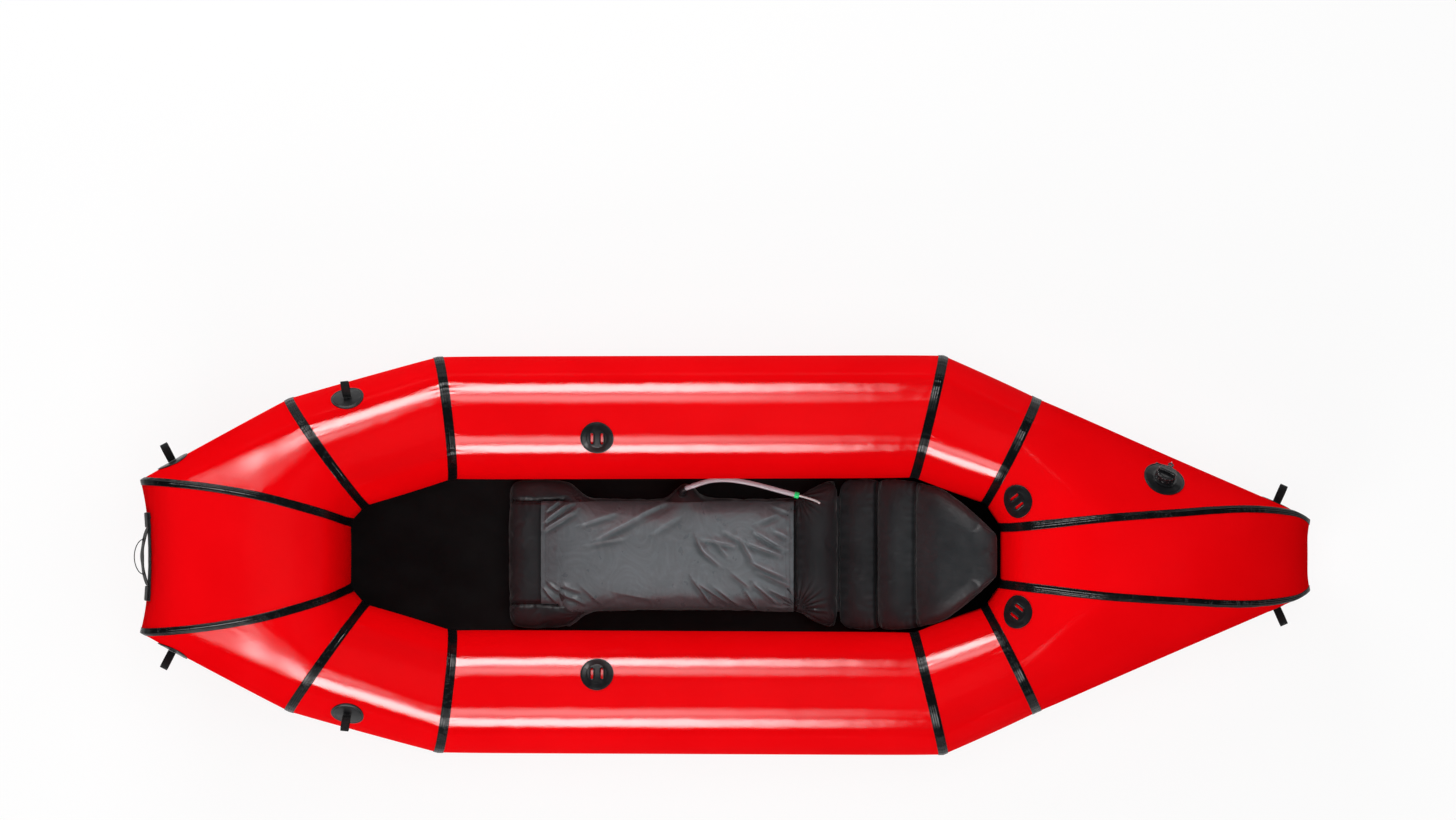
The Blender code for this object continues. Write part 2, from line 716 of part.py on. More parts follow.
def hull_frame(place_on_hull, pointing):
    """A frame on the hull's skin: Z out of it, and Y along the pointing direction."""
    seam, share, step, angle = place_on_hull
    index = SEAM_NAMES.index(seam)
    fore, aft = seam_point(index, angle), seam_point(index + 1, angle)
    target = fore.lerp(aft, share) + (aft - fore).normalized() * step
    place, facet, _, _ = SKIN_TREE.find_nearest(target)
    normal = level_normal(place, facet)
    width = Vector((*pointing, 0)).cross(Vector((0, 0, 1)))
    width = (width - normal * width.dot(normal)).normalized()
    along = normal.cross(width)
    frame = Matrix((width, along, normal)).transposed().to_4x4()
    frame.translation = place
    return frame


def mirrored_frame(frame):
    """The same frame on the other side of the boat, still right-handed."""
    flip = Matrix.Diagonal((1, -1, 1, 1))
    return flip @ frame @ Matrix.Diagonal((-1, 1, 1, 1))


def skin_height(frame, x, y):
    """Height of the hull's skin over a frame's plane."""
    start = frame @ Vector((x, y, LOOP_REACH))
    direction = -(frame.to_3x3() @ Vector((0, 0, 1)))
    _, _, _, distance = SKIN_TREE.ray_cast(start, direction)
    return LOOP_REACH - distance


def polar_patch(name, frame, radii, height):
    """A round patch as an open surface in a frame's coordinates. height(x, y, radius)."""
    inner_hole = radii[0] > 0
    points, faces = [], []
    if not inner_hole:
        points.append(Vector((0, 0, height(0, 0, 0))))
    rings = [r for r in radii if r > 0]
    for radius in rings:
        for n in range(PATCH_SEGMENTS):
            angle = 2 * math.pi * (n + 0.5) / PATCH_SEGMENTS
            x, y = radius * math.cos(angle), radius * math.sin(angle)
            points.append(Vector((x, y, height(x, y, radius))))
    first = 0 if inner_hole else 1
    for n in range(PATCH_SEGMENTS):
        after = (n + 1) % PATCH_SEGMENTS
        if not inner_hole:
            faces.append((0, first + n, first + after))
        for ring in range(len(rings) - 1):
            a = first + ring * PATCH_SEGMENTS
            b = a + PATCH_SEGMENTS
            faces += [(a + n, b + n, b + after), (a + n, b + after, a + after)]
    return mesh_from(name, points, faces)


def thick_patch(name, mesh, thickness, offset):
    item = bpy.data.objects.new(name, mesh)
    GUIDES.objects.link(item)
    add_solidify(item, thickness, offset)
    solid = evaluated_mesh(item)
    remove_object(item)
    return solid


def loop_patch_mesh(name, frame):
    radii = [LOOP_PATCH_RADIUS * n / PATCH_RINGS for n in range(PATCH_RINGS + 1)]
    open_mesh = polar_patch(name, frame, radii,
                            lambda x, y, r: skin_height(frame, x, y) + PATCH_LIFT)
    disc = thick_patch(name, open_mesh, PATCH_THICKNESS, 1)
    keeper_base = PATCH_LIFT + PATCH_THICKNESS / 2
    keeper = box_mesh(name + "_keeper", (WEBBING_WIDTH, KEEPER_LENGTH, KEEPER_HEIGHT),
                      (0, 0, keeper_base + KEEPER_HEIGHT / 2))
    return joined(name, disc, [keeper])


LOOP_AXIS_HEIGHT = PATCH_LIFT + PATCH_THICKNESS / 2 + KEEPER_HEIGHT + 2 * CLEARANCE + LOOP_ROOT_RADIUS


def loop_mesh(name):
    """A folded webbing strap: a teardrop band round the hinge line along X."""
    half = WEBBING_THICKNESS / 2
    root = LOOP_ROOT_RADIUS - half
    reach = LOOP_REACH - half
    bulge = (LOOP_GAP + WEBBING_THICKNESS) / 2
    path = [(0, -root), (root, 0)]
    path += [(bulge * across, reach * up) for across, up in LOOP_PATH_SHARES]
    path.append((0, reach))
    path += [(-y, z) for y, z in path[-2:0:-1]]
    points, faces = [], []
    count = len(path)
    for y, z in path:
        points += [(-WEBBING_WIDTH / 2, y, z), (WEBBING_WIDTH / 2, y, z)]
    for n in range(count):
        a, b = 2 * n, 2 * ((n + 1) % count)
        faces.append((a, a + 1, b + 1, b))
    band = mesh_from(name, points, faces)
    return thick_patch(name, band, WEBBING_THICKNESS, 0)


def make_tie_downs():
    for place, (place_on_hull, pointing) in LOOP_PLACES.items():
        for side in SIDES:
            frame = hull_frame(place_on_hull, pointing)
            patch_name = side + "_" + place + "_loop_patch"
            loop_name = side + "_" + place + "_loop"
            patch_frame = frame if side == "port" else mirrored_frame(frame)
            add_object(patch_name, loop_patch_mesh(patch_name, patch_frame),
                       new_material(patch_name + "_black", BLACK, 0.45), patch_frame)
            hinge = patch_frame @ Matrix.Translation((0, 0, LOOP_AXIS_HEIGHT))
            add_object(loop_name, loop_mesh(loop_name),
                       new_material(loop_name + "_webbing", BLACK, 0.8), hinge)


def rim_height(frame, x, y):
    """The highest skin along one side of a patch's rim, either way from one of its corners."""
    half_step = math.pi / PATCH_SEGMENTS
    turns = [Matrix.Rotation(half_step * n, 2) for n in (-1, -0.5, 0, 0.5, 1)]
    return max(skin_height(frame, *(turn @ Vector((x, y)))) for turn in turns)


def lash_height(frame):
    """Flat raised middle, and a skirt that comes down to the hull."""
    def height(x, y, radius):
        if radius <= LASH_PLATEAU_RADIUS:
            return LASH_HEIGHT
        rim = rim_height(frame, x, y) + LASH_RIM_LIFT + LASH_THICKNESS
        share = (radius - LASH_PLATEAU_RADIUS) / (LASH_RADIUS - LASH_PLATEAU_RADIUS)
        ease = math.sin(share * math.pi / 2)
        return LASH_HEIGHT + (rim - LASH_HEIGHT) * ease
    return height


def slot_mesh(name, centre_x, length, width, height, base):
    """A slot cutter with round ends, along Y."""
    block = box_mesh(name, (width, length - width, height), (centre_x, 0, base + height / 2))
    ends = []
    for sign in (-1, 1):
        end = cylinder_mesh(name, width / 2, height, base, SLOT_SEGMENTS)
        end.transform(Matrix.Translation((centre_x, sign * (length - width) / 2, 0)))
        ends.append(end)
    return joined(name, block, ends)


def lash_patch_mesh(name, frame, turn):
    step = (LASH_RADIUS - LASH_PLATEAU_RADIUS) / PATCH_RINGS
    radii = [0] + [LASH_PLATEAU_RADIUS + step * n for n in range(PATCH_RINGS + 1)]
    open_mesh = polar_patch(name, frame, radii, lash_height(frame))
    disc = thick_patch(name, open_mesh, LASH_THICKNESS, -1)
    slots = []
    for sign in (-1, 1):
        slot = slot_mesh(name + "_slot", sign * LASH_SLOT_PITCH / 2, LASH_SLOT_LENGTH,
                         LASH_SLOT_WIDTH, 2 * LASH_THICKNESS + OVERRUN,
                         LASH_HEIGHT - 2 * LASH_THICKNESS)
        slot.transform(Matrix.Rotation(turn, 4, "Z"))
        slots.append(slot)
    return joined(name, disc, slots, "DIFFERENCE")


def make_lash_patches():
    for place, (place_on_hull, turn) in LASH_PLACES.items():
        for side, sign in SIDES.items():
            frame = hull_frame(place_on_hull, (0, 1))
            if side == "starboard":
                frame = mirrored_frame(frame)
            name = side + "_" + place + "_lash_patch"
            mesh = lash_patch_mesh(name, frame, sign * turn)
            add_object(name, mesh, new_material(name + "_black", BLACK, 0.35), frame)


VALVE_FRAME = hull_frame(VALVE_PLACE, VALVE_POINTING)
VALVE_RIM_BASE = PATCH_LIFT + PATCH_THICKNESS + VALVE_RIM_LIFT


def make_valve_flange():
    inner = (VALVE_BODY_RADIUS + CLEARANCE) / math.cos(math.pi / PATCH_SEGMENTS)
    step = (VALVE_FLANGE_RADIUS - inner) / PATCH_RINGS
    radii = [inner + step * n for n in range(PATCH_RINGS + 1)]
    open_mesh = polar_patch("valve_flange", VALVE_FRAME, radii,
                            lambda x, y, r: skin_height(VALVE_FRAME, x, y) + PATCH_LIFT)
    mesh = thick_patch("valve_flange", open_mesh, PATCH_THICKNESS, 1)
    return add_object("valve_flange", mesh, new_material("valve_flange_black", BLACK, 0.5),
                      VALVE_FRAME)


def make_valve_body():
    rim_base = VALVE_RIM_BASE
    rim_top = rim_base + VALVE_RIM_HEIGHT
    neck_top = rim_base + VALVE_NECK_HEIGHT
    profile = [(VALVE_BORE_RADIUS, neck_top), (VALVE_NECK_RADIUS, neck_top),
               (VALVE_NECK_RADIUS, rim_top), (VALVE_RIM_RADIUS, rim_top - EDGE_ROUND),
               (VALVE_RIM_RADIUS, rim_base), (VALVE_BODY_RADIUS, rim_base),
               (VALVE_BODY_RADIUS, -VALVE_DEPTH), (VALVE_SEAT_RADIUS, -VALVE_DEPTH),
               (VALVE_SEAT_RADIUS, -VALVE_DEPTH + VALVE_SEAT_THICKNESS),
               (VALVE_BORE_RADIUS, -VALVE_DEPTH + VALVE_SEAT_THICKNESS)]
    shell = turned("valve_body", profile, VALVE_SEGMENTS)
    hub = cylinder_mesh("hub", VALVE_HUB_RADIUS, VALVE_HUB_HEIGHT, -VALVE_DEPTH, SMALL_SEGMENTS)
    spokes = []
    for n in range(VALVE_SPOKES):
        reach = VALVE_SEAT_RADIUS + VALVE_SPOKE_WIDTH / 2
        spoke = box_mesh("spoke", (reach, VALVE_SPOKE_WIDTH, VALVE_SEAT_THICKNESS),
                         (reach / 2, 0, -VALVE_DEPTH + VALVE_SEAT_THICKNESS / 2))
        spoke.transform(Matrix.Rotation(2 * math.pi * n / VALVE_SPOKES, 4, "Z"))
        spokes.append(spoke)
    mesh = joined("valve_body", shell, [hub] + spokes)
    bore = cylinder_mesh("bore", POPPET_STEM_RADIUS + CLEARANCE, VALVE_HUB_HEIGHT + 2 * OVERRUN,
                         -VALVE_DEPTH - OVERRUN, SMALL_SEGMENTS)
    mesh = joined("valve_body", mesh, [bore], "DIFFERENCE")
    return add_object("valve_body", mesh, new_material("valve_body_black", BLACK, 0.35),
                      VALVE_FRAME)


HUB_TOP = -VALVE_DEPTH + VALVE_HUB_HEIGHT
STEM_TOP = HUB_TOP + SPRING_HEIGHT + POPPET_HEAD_THICKNESS


def make_poppet():
    disc_top = -VALVE_DEPTH - CLEARANCE
    disc_base = disc_top - POPPET_DISC_THICKNESS
    head_base = STEM_TOP - POPPET_HEAD_THICKNESS
    profile = [(0, STEM_TOP), (POPPET_HEAD_RADIUS, STEM_TOP), (POPPET_HEAD_RADIUS, head_base),
               (POPPET_STEM_RADIUS, head_base), (POPPET_STEM_RADIUS, disc_top),
               (POPPET_DISC_RADIUS, disc_top), (POPPET_DISC_RADIUS, disc_base), (0, disc_base)]
    mesh = turned("valve_poppet", profile, PATCH_SEGMENTS)
    return add_object("valve_poppet", mesh, new_material("valve_poppet_grey", GREY, 0.5),
                      VALVE_FRAME)


def make_spring():
    low = HUB_TOP + CLEARANCE + SPRING_WIRE_RADIUS
    high = STEM_TOP - POPPET_HEAD_THICKNESS - CLEARANCE - SPRING_WIRE_RADIUS
    count = SPRING_TURNS * SPRING_POINTS_PER_TURN
    points = []
    for n in range(count + 1):
        angle = 2 * math.pi * n / SPRING_POINTS_PER_TURN
        points.append((SPRING_RADIUS * math.cos(angle), SPRING_RADIUS * math.sin(angle),
                       low + (high - low) * n / count))
    mesh = tube_mesh("valve_spring", points, SPRING_WIRE_RADIUS, 1)
    return add_object("valve_spring", mesh, new_material("valve_spring_steel", STEEL, 0.3, 1),
                      VALVE_FRAME)


CAP_BASE = VALVE_RIM_BASE + VALVE_RIM_HEIGHT + TETHER_THICKNESS + 2 * CLEARANCE
CAP_TOP = CAP_BASE + CAP_HEIGHT


def make_cap():
    inner = VALVE_NECK_RADIUS + CLEARANCE
    roof = VALVE_RIM_BASE + VALVE_NECK_HEIGHT + CLEARANCE
    profile = [(0, CAP_TOP), (CAP_RADIUS - EDGE_ROUND, CAP_TOP), (CAP_RADIUS, CAP_TOP - EDGE_ROUND),
               (CAP_RADIUS, CAP_BASE), (inner, CAP_BASE), (inner, roof), (0, roof)]
    cup = turned("valve_cap", profile, VALVE_SEGMENTS)
    notches = []
    for n in range(CAP_NOTCHES):
        angle = 2 * math.pi * n / CAP_NOTCHES
        notch = cylinder_mesh("notch", CAP_NOTCH_RADIUS, CAP_HEIGHT, CAP_BASE + CAP_NOTCH_START,
                              NOTCH_SEGMENTS)
        notch.transform(Matrix.Translation((CAP_RADIUS * math.cos(angle),
                                            CAP_RADIUS * math.sin(angle), 0)))
        notches.append(notch)
    mesh = joined("valve_cap", cup, notches, "DIFFERENCE")
    grip = box_mesh("grip", (2 * (CAP_RADIUS - CAP_GRIP_INSET), CAP_GRIP_WIDTH,
                             CAP_GRIP_HEIGHT + EDGE_ROUND),
                    (0, 0, CAP_TOP + (CAP_GRIP_HEIGHT - EDGE_ROUND) / 2))
    mesh = joined("valve_cap", mesh, [grip])
    return add_object("valve_cap", mesh, new_material("valve_cap_black", BLACK, 0.35), VALVE_FRAME)


def make_tether():
    base = VALVE_RIM_BASE + VALVE_RIM_HEIGHT + CLEARANCE
    inner = VALVE_NECK_RADIUS + CLEARANCE
    outer = inner + TETHER_RING_WALL
    top = base + TETHER_THICKNESS
    ring = turned("tether_ring", [(inner, top), (outer, top), (outer, base), (inner, base)],
                  VALVE_SEGMENTS)
    tab = box_mesh("tether_tab", (TETHER_WIDTH, TETHER_LENGTH, TETHER_THICKNESS),
                   (0, outer - EDGE_ROUND + TETHER_LENGTH / 2, base + TETHER_THICKNESS / 2))
    end = cylinder_mesh("tether_end", TETHER_WIDTH, TETHER_THICKNESS, base, SMALL_SEGMENTS)
    end.transform(Matrix.Translation((0, outer + TETHER_LENGTH, 0)))
    mesh = joined("cap_tether", ring, [tab, end])
    return add_object("cap_tether", mesh, new_material("cap_tether_black", BLACK, 0.5), VALVE_FRAME)


def cut_valve_hole(panel):
    cutter = cylinder_mesh("valve_hole", VALVE_BODY_RADIUS + CLEARANCE, 2 * VALVE_DEPTH,
                           -VALVE_DEPTH, TUBE_COLUMNS)
    add_boolean(panel, add_guide("valve_hole", cutter, VALVE_FRAME), "DIFFERENCE")


def handle_frame():
    """Frame on the middle of the bow gore: Z out of it, X along the handle to port."""
    point = gore_point(0, 0.5, HANDLE_ANGLE)
    _, normal, _, _ = SKIN_TREE.find_nearest(point)
    normal = Vector((normal.x, 0, normal.z)).normalized()
    across = Vector((0, 1, 0))
    frame = Matrix((across, normal.cross(across), normal)).transposed().to_4x4()
    frame.translation = point
    return frame


HANDLE_FRAME = handle_frame()


def handle_strip():
    """The strip under the handle, as an open surface on the bow gore in the handle's frame."""
    points, faces = [], []
    for n in range(HANDLE_STRIP_STEPS + 1):
        x = HANDLE_LENGTH * (n / HANDLE_STRIP_STEPS - 0.5)
        for m in range(HANDLE_STRIP_ROWS + 1):
            y = HANDLE_BASE_WIDTH * (m / HANDLE_STRIP_ROWS - 0.5)
            points.append(Vector((x, y, skin_height(HANDLE_FRAME, x, y) + HANDLE_BASE_LIFT)))
    for n in range(HANDLE_STRIP_STEPS):
        for m in range(HANDLE_STRIP_ROWS):
            a = n * (HANDLE_STRIP_ROWS + 1) + m
            b = a + HANDLE_STRIP_ROWS + 1
            faces.append((a, b, b + 1, a + 1))
    return mesh_from("handle_strip", points, faces)


HANDLE_SPAN = HANDLE_LENGTH - 2 * HANDLE_END_LENGTH


def handle_pad_height(x):
    return skin_height(HANDLE_FRAME, x, 0) + HANDLE_BASE_LIFT + PATCH_THICKNESS


def make_handle():
    strip = thick_patch("base", handle_strip(), PATCH_THICKNESS, 1)
    pads = []
    for sign in (-1, 1):
        middle = sign * (HANDLE_SPAN + HANDLE_END_LENGTH) / 2
        base = handle_pad_height(middle) - PATCH_THICKNESS / 2
        slope = handle_pad_height(middle + HANDLE_END_LENGTH / 2)
        slope -= handle_pad_height(middle - HANDLE_END_LENGTH / 2)
        height = HANDLE_PAD_HEIGHT + PATCH_THICKNESS / 2
        pad = box_mesh("pad", (HANDLE_END_LENGTH - EDGE_ROUND, HANDLE_STRAP_WIDTH, height),
                       (0, 0, height / 2))
        pad.transform(Matrix.Translation((middle, 0, base))
                      @ Matrix.Rotation(-math.atan2(slope, HANDLE_END_LENGTH), 4, "Y"))
        pads.append(pad)
    mesh = joined("bow_handle_base", strip, pads)
    add_object("bow_handle_base", mesh, new_material("bow_handle_base_black", BLACK, 0.5),
               HANDLE_FRAME)


def strap_line():
    """Middle line of the handle's strap between its sewn ends."""
    reach = HANDLE_SPAN / 2 - 2 * CLEARANCE
    start = handle_pad_height(HANDLE_SPAN / 2) + HANDLE_STRAP_THICKNESS / 2 + CLEARANCE
    middle = handle_pad_height(0)
    points = []
    for n in range(HANDLE_STRAP_STEPS + 1):
        share = n / HANDLE_STRAP_STEPS
        x = reach * (2 * share - 1)
        rise = math.sin(math.pi * share) ** HANDLE_ARCH_POWER
        points.append((x, start + (middle + HANDLE_ARCH - start) * rise))
    return points


def make_strap():
    line = strap_line()
    points, faces = [], []
    for x, z in line:
        points += [(x, -HANDLE_STRAP_WIDTH / 2, z), (x, HANDLE_STRAP_WIDTH / 2, z)]
    for n in range(len(line) - 1):
        a = 2 * n
        faces.append((a, a + 2, a + 3, a + 1))
    mesh = thick_patch("bow_handle_strap", mesh_from("strap", points, faces),
                       HANDLE_STRAP_THICKNESS, 0)
    axis = Matrix.Translation((0, 0, line[0][1]))
    mesh.transform(axis.inverted())
    add_object("bow_handle_strap", mesh, new_material("bow_handle_strap_webbing", BLACK, 0.8),
               HANDLE_FRAME @ axis)


def strap_height(line, x):
    """Height of the strap's middle line at a place along it."""
    for (start, low), (end, high) in zip(line, line[1:]):
        if start <= x <= end:
            return low + (high - low) * (x - start) / (end - start)
    return line[0][1]


def make_pull_loop():
    line = strap_line()
    points = []
    lift = HANDLE_STRAP_THICKNESS / 2 + CLEARANCE + PULL_LOOP_RADIUS
    for n in range(PULL_LOOP_STEPS + 1):
        angle = math.pi * n / PULL_LOOP_STEPS
        x = -PULL_LOOP_SPAN / 2 * math.cos(angle)
        points.append((x, 0, strap_height(line, x) + lift + PULL_LOOP_REACH * math.sin(angle)))
    mesh = tube_mesh("bow_cord_loop", points, PULL_LOOP_RADIUS, 2)
    add_object("bow_cord_loop", mesh, new_material("bow_cord_loop_black", BLACK, 0.6), HANDLE_FRAME)


def seat_frame():
    """The cockpit floor between the fore and aft seams: X along it, Z square to it."""
    fore = lifted(seam_row("port", 2), BOTTOM_COLUMN, FLOOR_LIFT)
    aft = lifted(seam_row("port", 3), BOTTOM_COLUMN, FLOOR_LIFT)
    pitch = math.atan2(aft.z - fore.z, aft.x - fore.x)
    share = (HULL_CENTRE_X - fore.x) / (aft.x - fore.x)
    origin = Vector((HULL_CENTRE_X, 0, fore.z + (aft.z - fore.z) * share))
    return Matrix.Translation(origin) @ Matrix.Rotation(-pitch, 4, "Y")


SEAT_FRAME = seat_frame()


def cushion_mesh(name, shares, length, width, height, start, base):
    """A crowned cushion with drawn-in sides and channels, from a cage of cross sections."""
    loop = list(SECTION_SHARES) + [(-y, z) for y, z in SECTION_SHARES[-2:0:-1]]
    count = len(loop)
    points, faces = [], []
    for along, across, up in shares:
        for y, z in loop:
            points.append((start + along * length, y * across * width / 2, base + z * up * height))
    for n in range(len(shares) - 1):
        for m in range(count):
            a, b = n * count + m, n * count + (m + 1) % count
            faces.append((a, a + count, b + count, b))
    faces.append(tuple(range(count)))
    faces.append(tuple(reversed([(len(shares) - 1) * count + m for m in range(count)])))
    cage = mesh_from(name, points, faces)
    item = bpy.data.objects.new(name, cage)
    GUIDES.objects.link(item)
    smooth = item.modifiers.new("smooth", "SUBSURF")
    smooth.levels = 1
    smooth.render_levels = 1
    mesh = evaluated_mesh(item)
    remove_object(item)
    form = bmesh.new()
    form.from_mesh(mesh)
    bmesh.ops.recalc_face_normals(form, faces=form.faces)
    return mesh_from_bmesh(name, form)


SEAT_END_X = SEAT_FRONT_X + SEAT_LENGTH
HINGE_X = SEAT_END_X + HEM_LENGTH + CLEARANCE + HINGE_ROLL_RADIUS


def make_seat():
    mesh = cushion_mesh("seat_cushion", SEAT_SHARES, SEAT_LENGTH, SEAT_WIDTH, SEAT_HEIGHT,
                        SEAT_FRONT_X, CLEARANCE)
    inside = 2 * HEM_LENGTH
    hem = box_mesh("hem", (HEM_LENGTH + inside, HEM_WIDTH, HEM_THICKNESS),
                   (SEAT_END_X + (HEM_LENGTH - inside) / 2, 0, HEM_HEIGHT))
    mesh = joined("seat_cushion", mesh, [hem])
    return add_object("seat_cushion", mesh, new_material("seat_cushion_black", BLACK, 0.7),
                      SEAT_FRAME, math.radians(50))


def make_cover(seat):
    """The cloth over the seat's middle, cut from the cushion's own surface."""
    form = bmesh.new()
    form.from_mesh(evaluated_mesh(seat))
    low = [f for f in form.faces if f.calc_center_median().z < SEAT_HEIGHT / 4]
    bmesh.ops.delete(form, geom=low, context="FACES")
    half = COVER_WIDTH / 2
    for place, normal in (((COVER_START_X, 0, 0), (-1, 0, 0)), ((COVER_END_X, 0, 0), (1, 0, 0)),
                          ((0, half, 0), (0, 1, 0)), ((0, -half, 0), (0, -1, 0))):
        bmesh.ops.bisect_plane(form, geom=form.verts[:] + form.edges[:] + form.faces[:],
                               plane_co=place, plane_no=normal, clear_outer=True)
    bmesh.ops.triangulate(form, faces=form.faces)
    form.normal_update()
    moves = [(v, v.normal.copy()) for v in form.verts]
    for vertex, normal in moves:
        vertex.co += normal * 2 * CLEARANCE
    mesh = mesh_from_bmesh("seat_cover", form)
    cover = add_object("seat_cover", mesh, new_material("seat_cover_grey", GREY, 0.5), SEAT_FRAME)
    add_solidify(cover, COVER_THICKNESS, 1)
    return cover


def backrest_frame():
    hinge = Matrix.Translation((HINGE_X, 0, HEM_HEIGHT))
    return SEAT_FRAME @ hinge @ Matrix.Rotation(-BACKREST_RECLINE, 4, "Y")


def make_backrest():
    """The backrest, from its hinge to just before the stern end of the cockpit."""
    frame = backrest_frame()
    end = HULL_CENTRE_X + COCKPIT_CENTRE_X + COCKPIT_LENGTH / 2 - BACKREST_END_GAP
    length = (end - frame.translation.x) / frame.col[0].x
    pad = cushion_mesh("backrest", BACKREST_SHARES, length, BACKREST_WIDTH,
                       BACKREST_THICKNESS, 0, -BACKREST_THICKNESS / 2)
    hem = box_mesh("hem", (2 * HEM_LENGTH, HEM_WIDTH, HEM_THICKNESS), (HEM_LENGTH, 0, 0))
    roll = cylinder_mesh("roll", HINGE_ROLL_RADIUS, HEM_WIDTH, -HEM_WIDTH / 2, PATCH_SEGMENTS)
    roll.transform(Matrix.Rotation(math.pi / 2, 4, "X"))
    mesh = joined("backrest", pad, [hem, roll])
    return add_object("backrest", mesh, new_material("backrest_black", BLACK, 0.7), frame,
                      math.radians(50))


def make_hose(seat):
    """Inlet on the seat's side, clear hose, green collar and the thin tube in it."""
    form = bmesh.new()
    form.from_mesh(seat.data)
    tree = BVHTree.FromBMesh(form)
    form.free()
    above = Vector((INLET_X, INLET_Y, 2 * SEAT_HEIGHT))
    place, normal, _, _ = tree.ray_cast(above, Vector((0, 0, -1)))
    width = normal.cross(Vector((1, 0, 0))).normalized()
    frame = Matrix((normal.cross(width) * -1, width, normal)).transposed().to_4x4()
    frame.translation = place
    lift = 3 * CLEARANCE
    boot_top = lift + INLET_HEIGHT
    profile = [(0, boot_top), (INLET_COLLAR_RADIUS, boot_top),
               (INLET_COLLAR_RADIUS, lift + INLET_HEIGHT / 2), (INLET_RADIUS, lift + PATCH_THICKNESS),
               (INLET_RADIUS, lift), (0, lift)]
    inlet = turned("hose_inlet", profile, PATCH_SEGMENTS)
    add_object("hose_inlet", inlet, new_material("hose_inlet_black", BLACK, 0.4), SEAT_FRAME @ frame)
    exit_point = frame @ Vector((0, 0, boot_top + CLEARANCE))
    lead = frame @ Vector((0, 0, boot_top + CLEARANCE + HOSE_RADIUS))
    smooth = [exit_point] + spline_through([lead] + [Vector(p) for p in HOSE_ROUTE], 2)
    add_object("seat_hose", tube_mesh("seat_hose", smooth, HOSE_RADIUS, 2),
               new_material("seat_hose_clear", CLEAR_HOSE, 0.15), SEAT_FRAME)
    along = (smooth[-1] - smooth[-2]).normalized()
    collar_frame = along.to_track_quat("Z", "Y").to_matrix().to_4x4()
    collar_frame.translation = smooth[-1]
    collar = cylinder_mesh("hose_collar", COLLAR_RADIUS, COLLAR_LENGTH, CLEARANCE, PATCH_SEGMENTS)
    add_object("hose_collar", collar, new_material("hose_collar_green", GREEN, 0.3),
               SEAT_FRAME @ collar_frame)
    tip_start = smooth[-1] + along * (COLLAR_LENGTH + 2 * CLEARANCE)
    tip_points = spline_through([tip_start] + [Vector(p) for p in HOSE_TIP_ROUTE], 3)
    add_object("hose_tip", tube_mesh("hose_tip", tip_points, HOSE_TIP_RADIUS, 2),
               new_material("hose_tip_clear", CLEAR_TIP, 0.1), SEAT_FRAME)


def make_packraft():
    panels = make_panels()
    make_tapes()
    make_floor()
    make_tie_downs()
    make_lash_patches()
    cut_valve_hole(panels["port_stern_quarter_panel"])
    make_valve_flange()
    make_valve_body()
    make_poppet()
    make_spring()
    make_cap()
    make_tether()
    make_handle()
    make_strap()
    make_pull_loop()
    seat = make_seat()
    make_cover(seat)
    make_backrest()
    make_hose(seat)


make_packraft()
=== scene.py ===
import json
import math

import bmesh
import bpy
import numpy as np
from mathutils import Matrix, Vector
from mathutils.bvhtree import BVHTree

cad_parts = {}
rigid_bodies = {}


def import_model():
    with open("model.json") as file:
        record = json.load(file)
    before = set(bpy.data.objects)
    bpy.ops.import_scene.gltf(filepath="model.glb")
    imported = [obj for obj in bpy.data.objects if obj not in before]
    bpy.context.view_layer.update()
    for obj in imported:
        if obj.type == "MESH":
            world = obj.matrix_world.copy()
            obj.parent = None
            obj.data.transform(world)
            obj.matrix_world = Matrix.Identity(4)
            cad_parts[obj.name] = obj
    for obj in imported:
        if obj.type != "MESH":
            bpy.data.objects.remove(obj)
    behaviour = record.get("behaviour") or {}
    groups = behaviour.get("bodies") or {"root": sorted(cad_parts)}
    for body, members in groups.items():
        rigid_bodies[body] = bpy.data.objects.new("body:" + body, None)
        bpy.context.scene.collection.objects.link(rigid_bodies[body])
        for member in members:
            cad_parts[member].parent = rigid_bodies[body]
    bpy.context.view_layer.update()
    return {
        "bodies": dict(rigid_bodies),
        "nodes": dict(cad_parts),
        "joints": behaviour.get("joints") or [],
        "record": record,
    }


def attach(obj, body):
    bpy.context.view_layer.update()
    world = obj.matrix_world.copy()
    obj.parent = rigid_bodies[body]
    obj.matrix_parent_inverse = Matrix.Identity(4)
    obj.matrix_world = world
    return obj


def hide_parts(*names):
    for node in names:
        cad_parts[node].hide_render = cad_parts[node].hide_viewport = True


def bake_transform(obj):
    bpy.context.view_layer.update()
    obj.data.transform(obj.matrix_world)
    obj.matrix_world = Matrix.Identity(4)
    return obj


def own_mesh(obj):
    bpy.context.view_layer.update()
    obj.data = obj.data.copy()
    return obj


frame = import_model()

NODES = frame["nodes"]
SCENE = bpy.context.scene
TURN = 2 * math.pi
SIDES = {"port": 1, "starboard": -1}

# The camera looks straight down, for the lower of the photograph's two views
VIEW_WIDTH = 3.000
VIEW_CENTRE = (0.0055, 0.2985)
CAMERA_HEIGHT = 14.0
SENSOR_WIDTH = 36.0
TUBE_LEVEL = 0.150
# Soft boxes along X: their reach, how far their light fades at each end, and their distance
STRIP_REACH = (-3.20, 0.02)
STRIP_FADE = (0.9, 0.27)
STRIP_DISTANCE = 4.5
WORLD_STRENGTH = 0.02
STAGE_HALF = 30
STAGE_TOP = -0.0004
STAGE_WHITE = 0.86


def in_scene(name, data, place=(0, 0, 0), turn=0.0):
    """A new object at a place, turned about X."""
    item = bpy.data.objects.new(name, data)
    item.location = place
    item.rotation_euler = (turn, 0, 0)
    SCENE.collection.objects.link(item)
    return item


